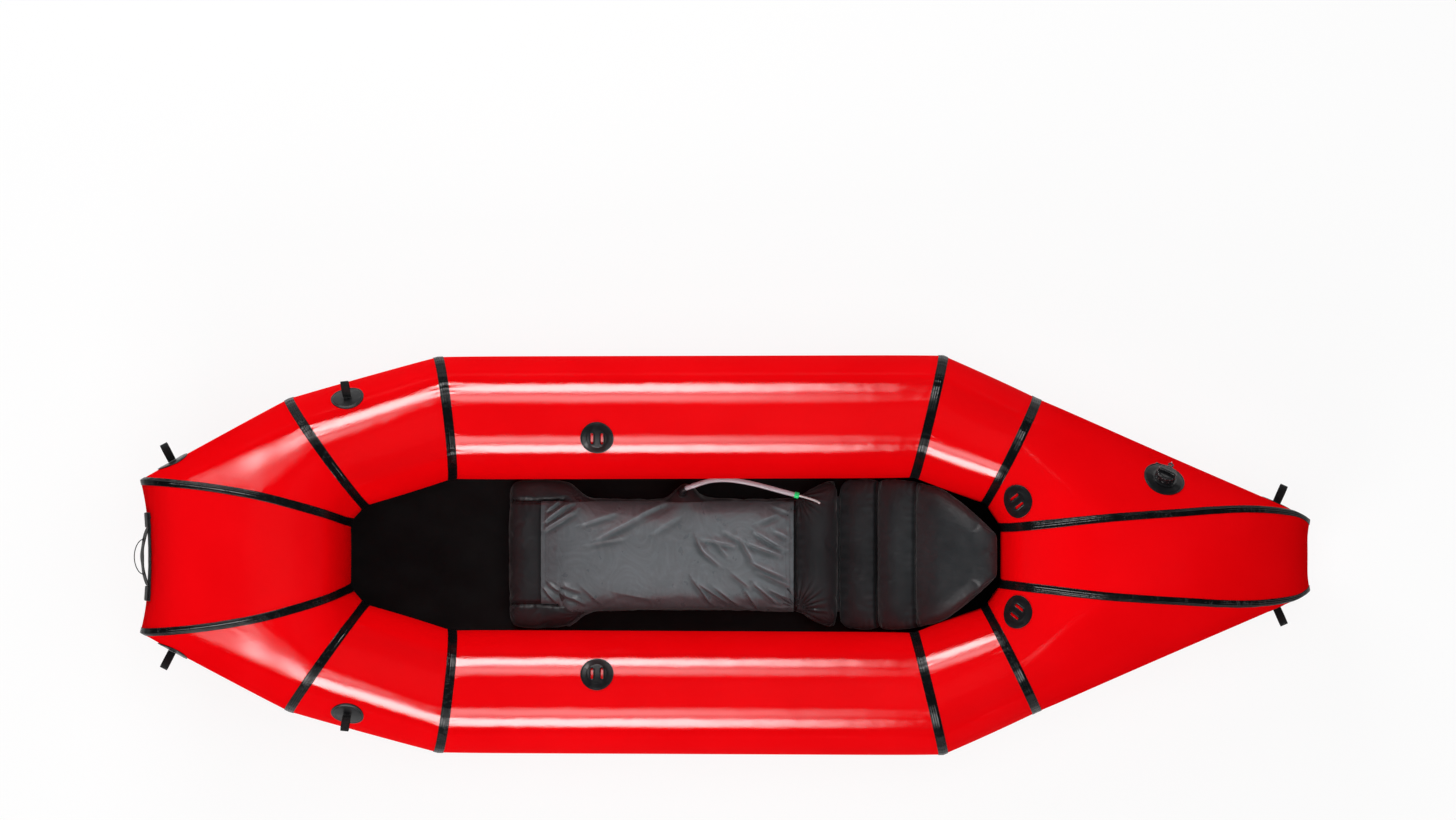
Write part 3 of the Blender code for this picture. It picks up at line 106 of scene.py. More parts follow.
def put(node, inputs):
    """Link or set inputs of a node. Colours are given without alpha."""
    for key, value in inputs.items():
        socket = node.inputs[key]
        if isinstance(value, bpy.types.NodeSocket):
            node.id_data.links.new(value, socket)
        else:
            socket.default_value = (*value, 1) if socket.type == "RGBA" else value
    return node


def new_node(tree, kind, inputs=(), **settings):
    made = tree.nodes.new("ShaderNode" + kind)
    for key, value in settings.items():
        setattr(made, key, value)
    return put(made, dict(inputs))


def make_camera():
    data = bpy.data.cameras.new("camera")
    data.sensor_width = SENSOR_WIDTH
    data.lens = SENSOR_WIDTH * (CAMERA_HEIGHT - TUBE_LEVEL) / VIEW_WIDTH
    data.clip_end = 60.0
    SCENE.camera = in_scene("camera", data, (*VIEW_CENTRE, CAMERA_HEIGHT))
    SCENE.view_settings.view_transform = "Standard"


def area_light(name, size, radiance, place, turn=0.0):
    data = bpy.data.lights.new(name, "AREA")
    data.shape = "RECTANGLE"
    data.size, data.size_y = size
    data.energy = radiance * math.pi * size[0] * size[1]
    return in_scene(name, data, place, turn)


def strip_light(name, angle, width, radiance):
    """A long soft box, turned about the boat from straight above, that fades at its ends."""
    length = STRIP_REACH[1] - STRIP_REACH[0]
    place = (sum(STRIP_REACH) / 2, STRIP_DISTANCE * math.sin(angle),
             STRIP_DISTANCE * math.cos(angle))
    data = area_light(name, (length, width), radiance, place, -angle).data
    data.use_nodes = True
    tree = data.node_tree
    where = new_node(tree, "NewGeometry").outputs["Parametric"]
    along = new_node(tree, "SeparateXYZ", {0: where}).outputs["X"]
    fade = new_node(tree, "ValToRGB", {"Fac": along})
    steps = fade.color_ramp.elements
    steps[0].color = steps[1].color = (0, 0, 0, 1)
    for share in (STRIP_FADE[0] / length, 1 - STRIP_FADE[1] / length):
        steps.new(share).color = (1, 1, 1, 1)
    tree.links.new(fade.outputs["Color"], tree.nodes["Emission"].inputs["Color"])


def make_lights():
    for side, sign in SIDES.items():
        strip_light(side + "_bright_strip", sign * math.radians(57), 1.15, 10.0)
        strip_light(side + "_soft_strip", sign * math.radians(38.5), 1.05, 2.6)
    fill = area_light("fill", (4.5, 5.0), 2.35, (1.6, 0, 5.0))
    fill.visible_glossy = False
    # The world's light is faint, and the camera sees white beyond the stage
    world = SCENE.world = bpy.data.worlds.new("world")
    world.use_nodes = True
    tree = world.node_tree
    faint = put(tree.nodes["Background"], {"Color": (0.92, 0.93, 0.95),
                                           "Strength": WORLD_STRENGTH})
    white = new_node(tree, "Background", {"Color": (1, 1, 1), "Strength": 1.0})
    seen = new_node(tree, "LightPath").outputs["Is Camera Ray"]
    both = new_node(tree, "MixShader", {0: seen, 1: faint.outputs[0], 2: white.outputs[0]})
    put(tree.nodes["World Output"], {"Surface": both.outputs[0]})


make_camera()
make_lights()


# Procedural finishes

class Finish:
    """A material in the making, with the coordinates of its piece."""

    def __init__(self, name, **sockets):
        self.material = bpy.data.materials.new(name)
        self.material.use_nodes = True
        self.tree = self.material.node_tree
        places = self.node("TexCoord").outputs
        self.place, self.uv = places["Object"], places["UV"]
        self.shade(**sockets)

    def node(self, kind, inputs=(), **settings):
        return new_node(self.tree, kind, inputs, **settings)

    def shade(self, **sockets):
        """Set or link sockets of the shader, named with _ for their spaces."""
        put(self.tree.nodes["Principled BSDF"],
            {key.replace("_", " "): value for key, value in sockets.items()})
        return self.material

    def noise(self, scale, detail=2.0, roughness=0.5, vector=None):
        """Noise with one scale, or with a scale along each axis."""
        vector = vector or self.place
        if isinstance(scale, tuple):
            vector = self.node("Mapping", {"Vector": vector, "Scale": scale}).outputs["Vector"]
            scale = 1.0
        return self.node("TexNoise", {"Vector": vector, "Scale": scale, "Detail": detail,
                                      "Roughness": roughness}).outputs["Fac"]

    def ramp(self, value, low, high, out_low=0.0, out_high=1.0):
        return self.node("MapRange", {"Value": value, "From Min": low, "From Max": high,
                                      "To Min": out_low, "To Max": out_high}).outputs["Result"]

    def mixed(self, share, first, second):
        return self.node("Mix", {0: share, 6: first, 7: second}, data_type="RGBA").outputs[2]

    def maths(self, operation, first, second=0.0):
        return self.node("Math", {0: first, 1: second}, operation=operation).outputs[0]

    def times(self, first, second):
        return self.maths("MULTIPLY", first, second)

    def humps(self, value):
        return self.maths("ABSOLUTE", self.maths("SINE", value))

    def weave(self, vector, pitch):
        """Height of a plain weave whose threads lie a pitch apart along two axes."""
        split = self.split(vector)
        return self.times(*(self.humps(self.times(split[axis], math.pi / pitch))
                            for axis in ("X", "Y")))

    def split(self, vector):
        return self.node("SeparateXYZ", {0: vector}).outputs

    def attribute(self, name):
        return self.node("Attribute", attribute_name=name).outputs["Fac"]

    def facing(self):
        return self.node("LayerWeight", {"Blend": 0.5}).outputs["Facing"]

    def bumps(self, *layers):
        """The normal that layers of height and distance make, one on the other."""
        normal = None
        for height, distance in layers:
            inputs = {"Height": height, "Distance": distance}
            if normal is not None:
                inputs["Normal"] = normal
            normal = self.node("Bump", inputs).outputs["Normal"]
        return normal


def red_fabric_finish():
    """Coated red fabric: glossy, faintly woven, softly uneven and scuffed in places."""
    f = Finish("red_coated_fabric", Coat_Roughness=0.05, Coat_IOR=1.8, Specular_IOR_Level=0.0)
    colour = f.mixed(f.ramp(f.noise(5.0, 4.0), 0.35, 0.65), (0.82, 0.0008, 0.0028),
                     (0.87, 0.0014, 0.0038))
    specks = f.times(f.ramp(f.noise(900.0), 0.62, 0.72), 0.15)
    pucker = f.times(f.noise((95.0, 22.0, 1.0), vector=f.uv), f.attribute("seam"))
    normal = f.bumps((pucker, 0.0016), (f.noise(22.0, 2.0, 0.4), 0.0006),
                     (f.weave(f.uv, 0.0011), 0.00002))
    return f.shade(
        Base_Color=f.mixed(specks, colour, (0.60, 0.002, 0.004)),
        Roughness=f.ramp(f.noise(30.0, 5.0, 0.65), 0.4, 0.8, 0.15, 0.28),
        Coat_Weight=f.times(f.ramp(f.facing(), 0.17, 0.32, 0.90, 0.015), f.attribute("gloss")),
        Normal=normal, Coat_Normal=normal)


def tape_finish():
    """Heat-sealed black tape: shiny, with ridges along it and small dashes pressed across."""
    f = Finish("seam_tape", Coat_Roughness=0.07, Coat_IOR=1.7, Specular_IOR_Level=0.06)
    ridges = f.times(f.maths("SINE", f.times(f.split(f.uv)["Y"], TURN / 0.0046)),
                     f.noise((14.0, 60.0, 1.0), vector=f.uv))
    dashes = f.times(f.ramp(f.noise((420.0, 90.0, 1.0), vector=f.uv), 0.58, 0.70),
                     f.ramp(f.noise(11.0), 0.48, 0.60))
    normal = f.bumps((ridges, 0.00045), (dashes, 0.0009), (f.noise(1500.0, 1.0), 0.00006))
    return f.shade(
        Base_Color=f.mixed(f.ramp(f.noise(60.0, 5.0, 0.7), 0.45, 0.8),
                           (0.0030, 0.0036, 0.0040), (0.0070, 0.0080, 0.0086)),
        Roughness=f.ramp(f.noise(220.0, 3.0), 0.3, 0.7, 0.24, 0.40),
        Coat_Weight=f.ramp(f.facing(), 0.20, 0.45, 0.42, 0.01), Normal=normal,
        Coat_Normal=normal)


def woven_finish(name, dark, light, pitch, roughness, depth, sheen, creases=0.0, specular=0.5):
    """Black or grey cloth with its weave, worn patches and a faint sheen.

    Its creases get painted shade and its ridges a painted highlight, by the piece's fold
    attribute.
    """
    f = Finish(name, Sheen_Weight=sheen, Sheen_Roughness=0.4, Specular_IOR_Level=specular)
    threads, fold = f.weave(f.place, pitch), f.attribute("fold")
    share = f.times(f.ramp(threads, 0.0, 0.8, 0.5, 1.0),
                    f.ramp(f.noise(9.0, 5.0, 0.6), 0.3, 0.7, 0.35, 1.0))
    # Painted shade: where the fold attribute is below 0 the colour goes towards a quarter of the
    # dark colour
    colour = f.mixed(f.ramp(fold, -1.0, 0.0, 0.80, 0.0), f.mixed(share, dark, light),
                     tuple(0.25 * c for c in dark))
    # Painted highlight: where the fold attribute is above 0 the colour goes towards twice the
    # light colour
    colour = f.mixed(f.ramp(fold, 0.0, 1.0, 0.0, 0.55), colour,
                     tuple(min(1.0, 2.0 * c) for c in light))
    layers = [(threads, depth), (f.noise(700.0), depth / 2)]
    if creases:
        layers.append((f.noise((26.0, 60.0, 26.0), 3.0, 0.55), creases))
    return f.shade(Base_Color=colour, Normal=f.bumps(*layers), Roughness=f.ramp(
        f.noise(40.0, 4.0), 0.3, 0.7, roughness - 0.08, roughness + 0.08))


def plastic_finish(name, dark, light, roughness, grain, scale=1500.0, coat=0.0, specular=0.5):
    """Moulded plastic or rubber with a fine grain and slightly worn, paler high spots."""
    f = Finish(name, Coat_Weight=coat, Specular_IOR_Level=specular)
    wear = f.ramp(f.noise(70.0, 5.0, 0.7), 0.5, 0.8)
    edge = f.ramp(f.node("NewGeometry").outputs["Pointiness"], 0.52, 0.62)
    share = f.maths("ADD", f.times(wear, 0.5), f.times(edge, 0.5))
    return f.shade(
        Base_Color=f.mixed(share, dark, light), Normal=f.bumps((f.noise(scale), grain)),
        Roughness=f.ramp(f.noise(120.0, 3.0), 0.3, 0.7, roughness - 0.07, roughness + 0.09))


def webbing_finish(name, dark, light, thread=0.0016):
    """Woven nylon webbing with ribs across the strap."""
    f = Finish(name, Roughness=0.62, Sheen_Weight=0.08, Sheen_Roughness=0.35,
               Specular_IOR_Level=0.25)
    split, fuzz = f.split(f.uv), f.noise(1200.0, 3.0)
    across = f.times(split["X"], math.pi / thread)
    shifted = f.maths("ADD", f.times(split["Y"], math.pi / 0.0011), across)
    ribs = f.times(f.humps(across), f.humps(shifted))
    share = f.times(ribs, f.ramp(fuzz, 0.3, 0.7, 0.4, 1.0))
    return f.shade(Base_Color=f.mixed(share, dark, light),
                   Normal=f.bumps((ribs, 0.0003), (fuzz, 0.00012)))


def clear_finish(name, colour, roughness=0.12):
    """Flexible clear plastic tube, a little cloudy."""
    f = Finish(name, Transmission_Weight=0.55, IOR=1.42, Coat_Weight=0.4)
    cloud = f.ramp(f.noise(90.0, 4.0), 0.35, 0.7)
    pale = tuple(min(1.0, c * 1.12) for c in colour)
    return f.shade(Base_Color=f.mixed(cloud, colour, pale),
                   Roughness=f.ramp(cloud, 0.0, 1.0, roughness, roughness + 0.15),
                   Normal=f.bumps((f.noise(260.0), 0.0002)))


def steel_finish():
    f = Finish("spring_steel", Metallic=1.0)
    drawn = f.noise((900.0, 900.0, 120.0), 3.0)
    return f.shade(Base_Color=f.mixed(drawn, (0.42, 0.43, 0.45), (0.62, 0.62, 0.64)),
                   Roughness=f.ramp(drawn, 0.3, 0.7, 0.2, 0.38),
                   Normal=f.bumps((drawn, 0.00004)))


def thread_finish():
    f = Finish("thread", Roughness=0.55, Sheen_Weight=0.2)
    strands = f.noise(2500.0)
    return f.shade(Base_Color=f.mixed(strands, (0.020, 0.020, 0.022), (0.060, 0.060, 0.064)),
                   Normal=f.bumps((strands, 0.00010)))


def stage_finish():
    """A plain pale floor that looks white to the camera and keeps the object's shadow."""
    f = Finish("stage_floor", Roughness=0.9)
    shade = f.ramp(f.noise(0.8), 0.3, 0.7)
    f.shade(Base_Color=f.mixed(shade, (0.90, 0.90, 0.90), (0.93, 0.93, 0.93)))
    rays = f.node("LightPath").outputs
    seen = f.maths("MAXIMUM", rays["Is Camera Ray"], f.maths(
        "MAXIMUM", rays["Is Glossy Ray"], rays["Is Transmission Ray"]))
    white = f.node("Emission", {"Color": (1, 1, 1), "Strength": 1.0})
    both = f.node("MixShader", {0: f.times(seen, STAGE_WHITE), 2: white.outputs[0],
                                1: f.tree.nodes["Principled BSDF"].outputs[0]})
    put(f.tree.nodes["Material Output"], {"Surface": both.outputs[0]})
    return f.material


RED = red_fabric_finish()
TAPE = tape_finish()
FLOOR_CLOTH = woven_finish("floor_fabric", (0.0012, 0.0016, 0.0018), (0.0050, 0.0062, 0.0066),
                           0.0013, 0.55, 0.00010, 0.05, specular=0.2)
SEAT_CLOTH = woven_finish("seat_fabric", (0.010, 0.0120, 0.0136), (0.023, 0.0265, 0.0290),
                          0.0008, 0.40, 0.00005, 0.16, 0.0006)
COVER_CLOTH = woven_finish("cover_fabric", (0.128, 0.158, 0.170), (0.208, 0.256, 0.276),
                           0.0007, 0.34, 0.00004, 0.15, 0.0010)
RUBBER = plastic_finish("moulded_patch", (0.006, 0.006, 0.007), (0.022, 0.022, 0.024), 0.38,
                        0.00012, 900.0, 0.16, 0.3)
VALVE_PLASTIC = plastic_finish("valve_plastic", (0.007, 0.007, 0.008), (0.034, 0.034, 0.037),
                               0.25, 0.00005, coat=0.5, specular=0.4)
POPPET_PLASTIC = plastic_finish("poppet_plastic", (0.055, 0.057, 0.060), (0.095, 0.097, 0.10),
                                0.45, 0.00004)
GREEN = plastic_finish("green_plastic", (0.010, 0.80, 0.20), (0.05, 0.95, 0.34), 0.3, 0.00003,
                       coat=0.4)
WEBBING = webbing_finish("webbing", (0.0035, 0.0035, 0.0040), (0.017, 0.017, 0.018))
CORD = webbing_finish("cord", (0.004, 0.004, 0.005), (0.020, 0.020, 0.022), 0.0010)
HOSE_CLEAR = clear_finish("clear_hose", (0.80, 0.76, 0.82))
TIP_CLEAR = clear_finish("clear_tip", (0.90, 0.90, 0.90), 0.08)
STEEL = steel_finish()
THREAD = thread_finish()


# Meshes

def mesh_object(name, points, faces, material, uvs=None):
    """A smooth-shaded piece from points and faces, with UVs in metres for its material."""
    mesh = bpy.data.meshes.new(name)
    mesh.from_pydata([tuple(p) for p in points], [], faces)
    if uvs is not None:
        layer = mesh.uv_layers.new(name="metres")
        loops = np.zeros(len(mesh.loops), np.int32)
        mesh.loops.foreach_get("vertex_index", loops)
        layer.data.foreach_set("uv", np.asarray(uvs, np.float32)[loops].ravel())
    mesh.validate()
    mesh.shade_smooth()
    mesh.materials.append(material)
    return in_scene(name, mesh)


def grid_faces(rows, columns, closed=False, flip=False, start=0):
    faces = []
    for r in range(rows - 1):
        for c in range(columns if closed else columns - 1):
            a, b = start + r * columns + c, start + r * columns + (c + 1) % columns
            quad = (a, a + columns, b + columns, b)
            faces.append(quad[::-1] if flip else quad)
    return faces


def run_along(grid, axis):
    """Distance along the rows or columns of a grid of points."""
    steps = np.linalg.norm(np.diff(grid, axis=axis), axis=2)
    zero = np.zeros_like(steps[:, :1] if axis else steps[:1])
    return np.concatenate([zero, np.cumsum(steps, axis=axis)], axis=axis)


def line_run(points):
    """Distance along a line of points."""
    steps = np.linalg.norm(np.diff(points, axis=0), axis=1)
    return np.concatenate([[0], np.cumsum(steps)])


def grid_object(name, grid, material, closed=False, flip=False, uv=None):
    """A piece from rows of points. Its UVs run along the rows and from row to row."""
    if uv is None:
        uv = np.stack([run_along(grid, 1), run_along(grid, 0)], axis=2)
    return mesh_object(name, grid.reshape(-1, 3), grid_faces(*grid.shape[:2], closed, flip),
                       material, uv.reshape(-1, 2))


def placed(frame, rows):
    """Rows of points in a frame, in the scene."""
    return np.array([[frame @ Vector(p) for p in row] for row in rows])


def grid_normals(grid, closed):
    """Normals of a grid whose columns close on themselves or not."""
    along = np.gradient(grid, axis=0)
    if closed:
        across = np.roll(grid, -1, axis=1) - np.roll(grid, 1, axis=1)
    else:
        across = np.gradient(grid, axis=1)
    normal = np.cross(along, across)
    return normal / np.maximum(np.linalg.norm(normal, axis=2, keepdims=True), 1e-9)


def faces_in(grid, normal, row):
    """Whether a grid's faces have to be turned over to face along its normals."""
    a, b, c = grid[row, 10], grid[row + 1, 10], grid[row, 11]
    return np.dot(np.cross(b - a, c - a), normal[row, 10]) < 0


def face_up(item, up):
    """Turn a sheet over if it faces down."""
    if sum(face.normal.dot(up) for face in item.data.polygons) < 0:
        item.data.flip_normals()


def reformed(item, change):
    """Change a piece's mesh by a function, and turn its faces outwards."""
    form = bmesh.new()
    form.from_mesh(item.data)
    change(form)
    bmesh.ops.recalc_face_normals(form, faces=form.faces)
    form.to_mesh(item.data)
    form.free()
    return item


def welded(item, distance=0.00001):
    """Join the points of a mesh that lie together."""
    return reformed(item, lambda form: bmesh.ops.remove_doubles(form, verts=form.verts,
                                                                dist=distance))


def capped(item, count):
    """Close the first and last ring of a piece made of rings."""
    def close(form):
        points = list(form.verts)
        form.faces.new(points[:count])
        form.faces.new(points[:-count - 1:-1])
    return reformed(item, close)


def applied(item):
    """Put what an object's modifiers make into its mesh, and take them off."""
    bpy.context.view_layer.update()
    graph = bpy.context.evaluated_depsgraph_get()
    item.data = bpy.data.meshes.new_from_object(
        item.evaluated_get(graph), preserve_all_data_layers=True, depsgraph=graph)
    item.modifiers.clear()
    return item


def add_modifier(item, kind, **settings):
    modifier = item.modifiers.new(kind.lower(), kind)
    for key, value in settings.items():
        setattr(modifier, key, value)


def thicken(item, thickness, offset=-1.0, bevel=0.0):
    add_modifier(item, "SOLIDIFY", thickness=thickness, offset=offset, use_even_offset=True)
    if bevel:
        add_modifier(item, "BEVEL", width=bevel, segments=2, limit_method="ANGLE")


def point_values(item, name, values):
    """Give each point of a piece a number for its finish."""
    layer = item.data.attributes.new(name, "FLOAT", "POINT")
    layer.data.foreach_set("value", np.ravel(values).astype(np.float32))


def piece_tree(*items):
    form = bmesh.new()
    for item in items:
        form.from_mesh(item.data)
    tree = BVHTree.FromBMesh(form)
    form.free()
    return tree


def finished(item, *nodes, body="hull", slot=None):
    """Hide the nodes that a piece stands for, and let it move with its body.

    Its slot is not used.
    """
    if nodes:
        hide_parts(*nodes)
    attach(item, body)
    slot or item.data.materials[0].name.split(".")[0]
    return item


def spline(a, b, c, d, t):
    """The smooth curve from b to c."""
    return 0.5 * (2 * b + (c - a) * t + (2 * a - 5 * b + 4 * c - d) * t ** 2
                  + (3 * b - a - 3 * c + d) * t ** 3)


def smooth_line(points, per_span, closed=False):
    """A smooth line through points, with a number of steps between each two."""
    points = np.array(points, float)
    last = len(points) - 1
    line = []
    for n in range(len(points) if closed else last):
        picks = [n + k for k in (-1, 0, 1, 2)]
        picks = [k % len(points) if closed else min(max(k, 0), last) for k in picks]
        line += [spline(*points[picks], t) for t in np.arange(per_span) / per_span]
    return np.array(line if closed else line + [points[-1]])


def near_line(points, start, end):
    """Share of the way along a line, distance from it, and on which side, for points."""
    start = np.array(start)
    line = np.array(end) - start
    share = np.clip(((points - start) @ line) / (line @ line), 0, 1)
    away = points - (start + share[..., None] * line)
    side = np.sign(away[..., 0] * line[1] - away[..., 1] * line[0])
    return share, np.linalg.norm(away, axis=-1), side


def ripples(seed, count, waves=(5, 60)):
    """A smooth closed line of pseudo-random heights between about -1 and 1."""
    random = np.random.default_rng(seed)
    angles = np.arange(count) * TURN / count
    line = np.zeros(count)
    for wave in range(*waves):
        line += random.normal() * np.sin(wave * angles + random.uniform(0, TURN))
    return line / np.abs(line).max()


def bell(value):
    return np.exp(-value ** 2)


def ease(value):
    """A smooth step from 0 to 1."""
    share = np.clip(value, 0, 1)
    return share * share * (3 - 2 * share)


STAGE_CORNERS = [(x * STAGE_HALF, y * STAGE_HALF, STAGE_TOP)
                 for x, y in ((-1, -1), (1, -1), (1, 1), (-1, 1))]
mesh_object("stage_floor", STAGE_CORNERS, [(0, 1, 2, 3)], stage_finish())


# The tube's shape, from the same sizes and tables as the part's source

HULL_LENGTH = 2.400
HULL_CENTRE_X = 0.0043
HULL_WIDTH = 0.820
COCKPIT_LENGTH = 1.340
COCKPIT_WIDTH = 0.320
COCKPIT_CENTRE_X = -0.108
BOW_GORE_WIDTH = 0.311
STERN_GORE_WIDTH = 0.202
BOW_SWELL = 0.014
STERN_SWELL = 0.019
FORE_SEAM_LEAN = 0.012
STANDING_LIFT = 0.0020
SOURCE_COLUMNS = 28

SEAM_NAMES = ("bow_gore", "bow_quarter", "fore", "aft", "stern_quarter", "stern_gore")
LAST_SEAM = len(SEAM_NAMES) - 1
INNER_X_SHARES = (-1.0, -0.952, -0.688, 0.734, 0.952, 1.0)
INNER_Y_SHARES = (0.43, 0.635, 0.98, 1.0, 0.6625, 0.37)
OUTER_X_SHARES = (-0.998, -0.752, -0.498, 0.370, 0.530, 0.998)
OUTER_Y_SHARES = (0.38, 0.784, 0.994, 1.0, 0.787, 0.18)
SEAM_HEIGHTS = (0.357, 0.303, 0.254, 0.254, 0.287, 0.372)
SEAM_RISES = (0.010, 0.009, 0.0, 0.045, 0.028, 0.0)
BOW_RING_SHARES = (
    (0.000, 0.444, 0.441), (0.025, 0.483, 0.679), (0.099, 0.566, 0.856), (0.241, 0.685, 0.954),
    (0.429, 0.817, 1.000), (0.645, 0.919, 0.999), (0.833, 0.977, 0.978), (0.956, 1.000, 0.895),
    (1.000, 1.000, 0.763), (0.980, 0.990, 0.609), (0.892, 0.945, 0.403), (0.606, 0.745, 0.066),
    (0.315, 0.556, 0.000), (0.133, 0.465, 0.032), (0.044, 0.442, 0.127), (0.005, 0.433, 0.267))
STERN_RING_SHARES = (
    (0.000, 0.586, 0.489), (0.010, 0.590, 0.695), (0.055, 0.612, 0.846), (0.146, 0.673, 0.925),
    (0.334, 0.806, 1.000), (0.555, 0.908, 0.945), (0.776, 0.984, 0.807), (0.938, 0.898, 0.631),
    (1.000, 0.714, 0.470), (0.958, 0.857, 0.306), (0.792, 0.986, 0.188), (0.581, 0.918, 0.078),
    (0.380, 0.837, 0.000), (0.185, 0.694, 0.080), (0.055, 0.612, 0.170), (0.010, 0.592, 0.309))
BOW_SWELL_SHARES = (0, 0, 0.2, 0.5, 0.8, 0.9, 0.6, -0.7, -1.5, -0.5, 0.8, 0.6, 0, 0, 0, 0)
STERN_SWELL_SHARES = (0, 0, 0.1, 0.2, 0.25, 0.75, 0.95, 0.9, -0.4, 0.5, 1, 0.85, 0, 0, 0, 0)

# The dressed skin: columns round the tube, rows beside a seam, and how the cloth draws in
COLUMNS = 240
ANGLES = np.arange(COLUMNS) * TURN / COLUMNS
NEAR_ROWS = np.array([0.0, 0.0033, 0.0067, 0.0100, 0.0140])
SWELL = 0.0015
SWELL_REACH = 0.045
PUCKER = 0.0007
PUCKER_REACH = 0.020
SEAM_FADE = 0.014
TAPE_TOP = 0.0011
TAPE_THICKNESS = 0.0008
PANEL_NAMES = ("bow_quarter_panel", "fore_panel", "main_panel", "aft_panel",
               "stern_quarter_panel")
SIDE_ROWS = (14, 16, 40, 14, 28)
GORE_ROWS = {0: 56, LAST_SEAM: 26}
# Folds drawn in the bow's skin: start, end, depth and half width of each
CREASES = (
    ((-1.163, -0.004, 0.343), (-1.130, -0.006, 0.360), 0.0030, 0.0030),
    ((-1.166, 0.079, 0.332), (-1.142, 0.077, 0.350), 0.0016, 0.0026),
    ((-1.167, -0.092, 0.331), (-1.144, -0.095, 0.349), 0.0014, 0.0026),
    ((-1.166, 0.040, 0.338), (-1.148, 0.043, 0.350), 0.0010, 0.0030),
    ((-1.166, -0.050, 0.338), (-1.150, -0.046, 0.350), 0.0008, 0.0030))


def around(table, angles):
    """A table of equal steps round the tube, read at any angles."""
    table = np.array(table, float)
    place = np.asarray(angles) / TURN * len(table)
    first = np.floor(place).astype(int)
    picks = (table[(first + n) % len(table)] for n in (-1, 0, 1, 2))
    return spline(*picks, (place - first)[:, None])


def seam_points(index, angles):
    """Points of a port seam. The angle runs from the cockpit wall over the top."""
    angles = np.asarray(angles, float)
    inner_x = HULL_CENTRE_X + COCKPIT_CENTRE_X + INNER_X_SHARES[index] * COCKPIT_LENGTH / 2
    outer_x = HULL_CENTRE_X + OUTER_X_SHARES[index] * HULL_LENGTH / 2
    base = STANDING_LIFT + SEAM_RISES[index]
    height = SEAM_HEIGHTS[index]
    if index in (0, LAST_SEAM):
        half_width = (BOW_GORE_WIDTH if index == 0 else STERN_GORE_WIDTH) / 2
        ring = around(BOW_RING_SHARES if index == 0 else STERN_RING_SHARES, angles)
        return np.stack([inner_x + ring[:, 0] * (outer_x - inner_x), ring[:, 1] * half_width,
                         base + ring[:, 2] * height], axis=1)
    inner_y = INNER_Y_SHARES[index] * COCKPIT_WIDTH / 2
    outer_y = OUTER_Y_SHARES[index] * HULL_WIDTH / 2
    out = (1 - np.cos(angles)) / 2
    up = (1 + np.sin(angles)) / 2
    lean = FORE_SEAM_LEAN * np.sin(angles) if SEAM_NAMES[index] == "fore" else 0
    return np.stack([inner_x + out * (outer_x - inner_x) + lean,
                     inner_y + out * (outer_y - inner_y), base + up * height], axis=1)


def gore_points(index, shares, angles):
    """Rows of the bow or stern gore, from its port seam to its starboard one."""
    port = seam_points(index, angles)
    table, most = ((BOW_SWELL_SHARES, BOW_SWELL) if index == 0
                   else (STERN_SWELL_SHARES, STERN_SWELL))
    swell = around([(share,) for share in table], angles)[:, 0] * most
    step = math.pi / SOURCE_COLUMNS
    along = seam_points(index, angles + step) - seam_points(index, angles - step)
    out = np.stack([-along[:, 2], np.zeros(len(angles)), along[:, 0]], axis=1)
    middle = seam_points(index, [0.0, math.pi]).mean(axis=0)
    out *= np.where(np.sum(out * (port - middle), axis=1) < 0, -1, 1)[:, None]
    out /= np.linalg.norm(out, axis=1, keepdims=True)
    flat = port[None] * np.stack([np.ones_like(shares), 1 - 2 * shares, np.ones_like(shares)],
                                 axis=2)
    return flat + out[None] * (swell[None] * 4 * shares * (1 - shares))[:, :, None]


def row_shares(length, count):
    """Shares of the way between two seams, closer together beside them."""
    near = NEAR_ROWS[:, None] / length
    inner = np.linspace(0, 1, count)[1:-1, None]
    inner = near[-1] + inner * (1 - 2 * near[-1])
    return np.vstack([near, inner, 1 - near[::-1]])


def creased(points):
    """How deep each point lies in the folds."""
    depth = np.zeros(points.shape[:2])
    for start, end, deep, half in CREASES:
        share, away, _ = near_line(points, start, end)
        depth += deep * bell(away / half) * (1 - share ** 2)
        depth -= deep * 0.35 * bell((away - 2.2 * half) / half) * (1 - share ** 2)
    return depth


def dressed(points, shares, length, seeds, bow=False):
    """The skin as it stands under pressure: drawn in and puckered beside its seams.

    Its points, their outward normals and their distance from the nearer seam.
    """
    normal = grid_normals(points, True)
    if np.sum(normal * (points - points.mean(axis=1, keepdims=True))) < 0:
        normal = -normal
    distances = shares * length, (1 - shares) * length
    nearest = np.minimum(*distances)
    free = 1 - ease((-np.sin(ANGLES) - 0.55) / 0.35)
    fold = sum(ripples(seed, COLUMNS) * np.exp(-away / PUCKER_REACH)
               for seed, away in zip(seeds, distances))
    lift = SWELL * (1 - np.exp(-nearest / SWELL_REACH)) * free + PUCKER * fold * free
    if bow:
        lift = lift - creased(points)
    return points + normal * lift[..., None], normal, nearest


def side_panel(index, side):
    """Rows of a side panel from its fore seam to its aft one."""
    start, end = seam_points(index, ANGLES), seam_points(index + 1, ANGLES)
    length = np.linalg.norm(end - start, axis=1)
    shares = row_shares(length, SIDE_ROWS[index])
    points = start + (end - start) * shares[:, :, None]
    seed = (10 if side == "port" else 30) + index
    return dressed(points * (1, SIDES[side], 1), shares, length, (seed, seed + 1))


def gore_panel(index):
    """Rows of a gore from its port seam to its starboard one."""
    width = 2 * seam_points(index, ANGLES)[:, 1]
    shares = row_shares(width, GORE_ROWS[index])
    points = gore_points(index, shares, ANGLES)
    return dressed(points, shares, width, (10 + index, 30 + index), index == 0)


PANELS = {"bow_panel": gore_panel(0), "stern_panel": gore_panel(LAST_SEAM)}
for panel_side in SIDES:
    for panel_index, panel_name in enumerate(PANEL_NAMES):
        PANELS[panel_side + "_" + panel_name] = side_panel(panel_index, panel_side)


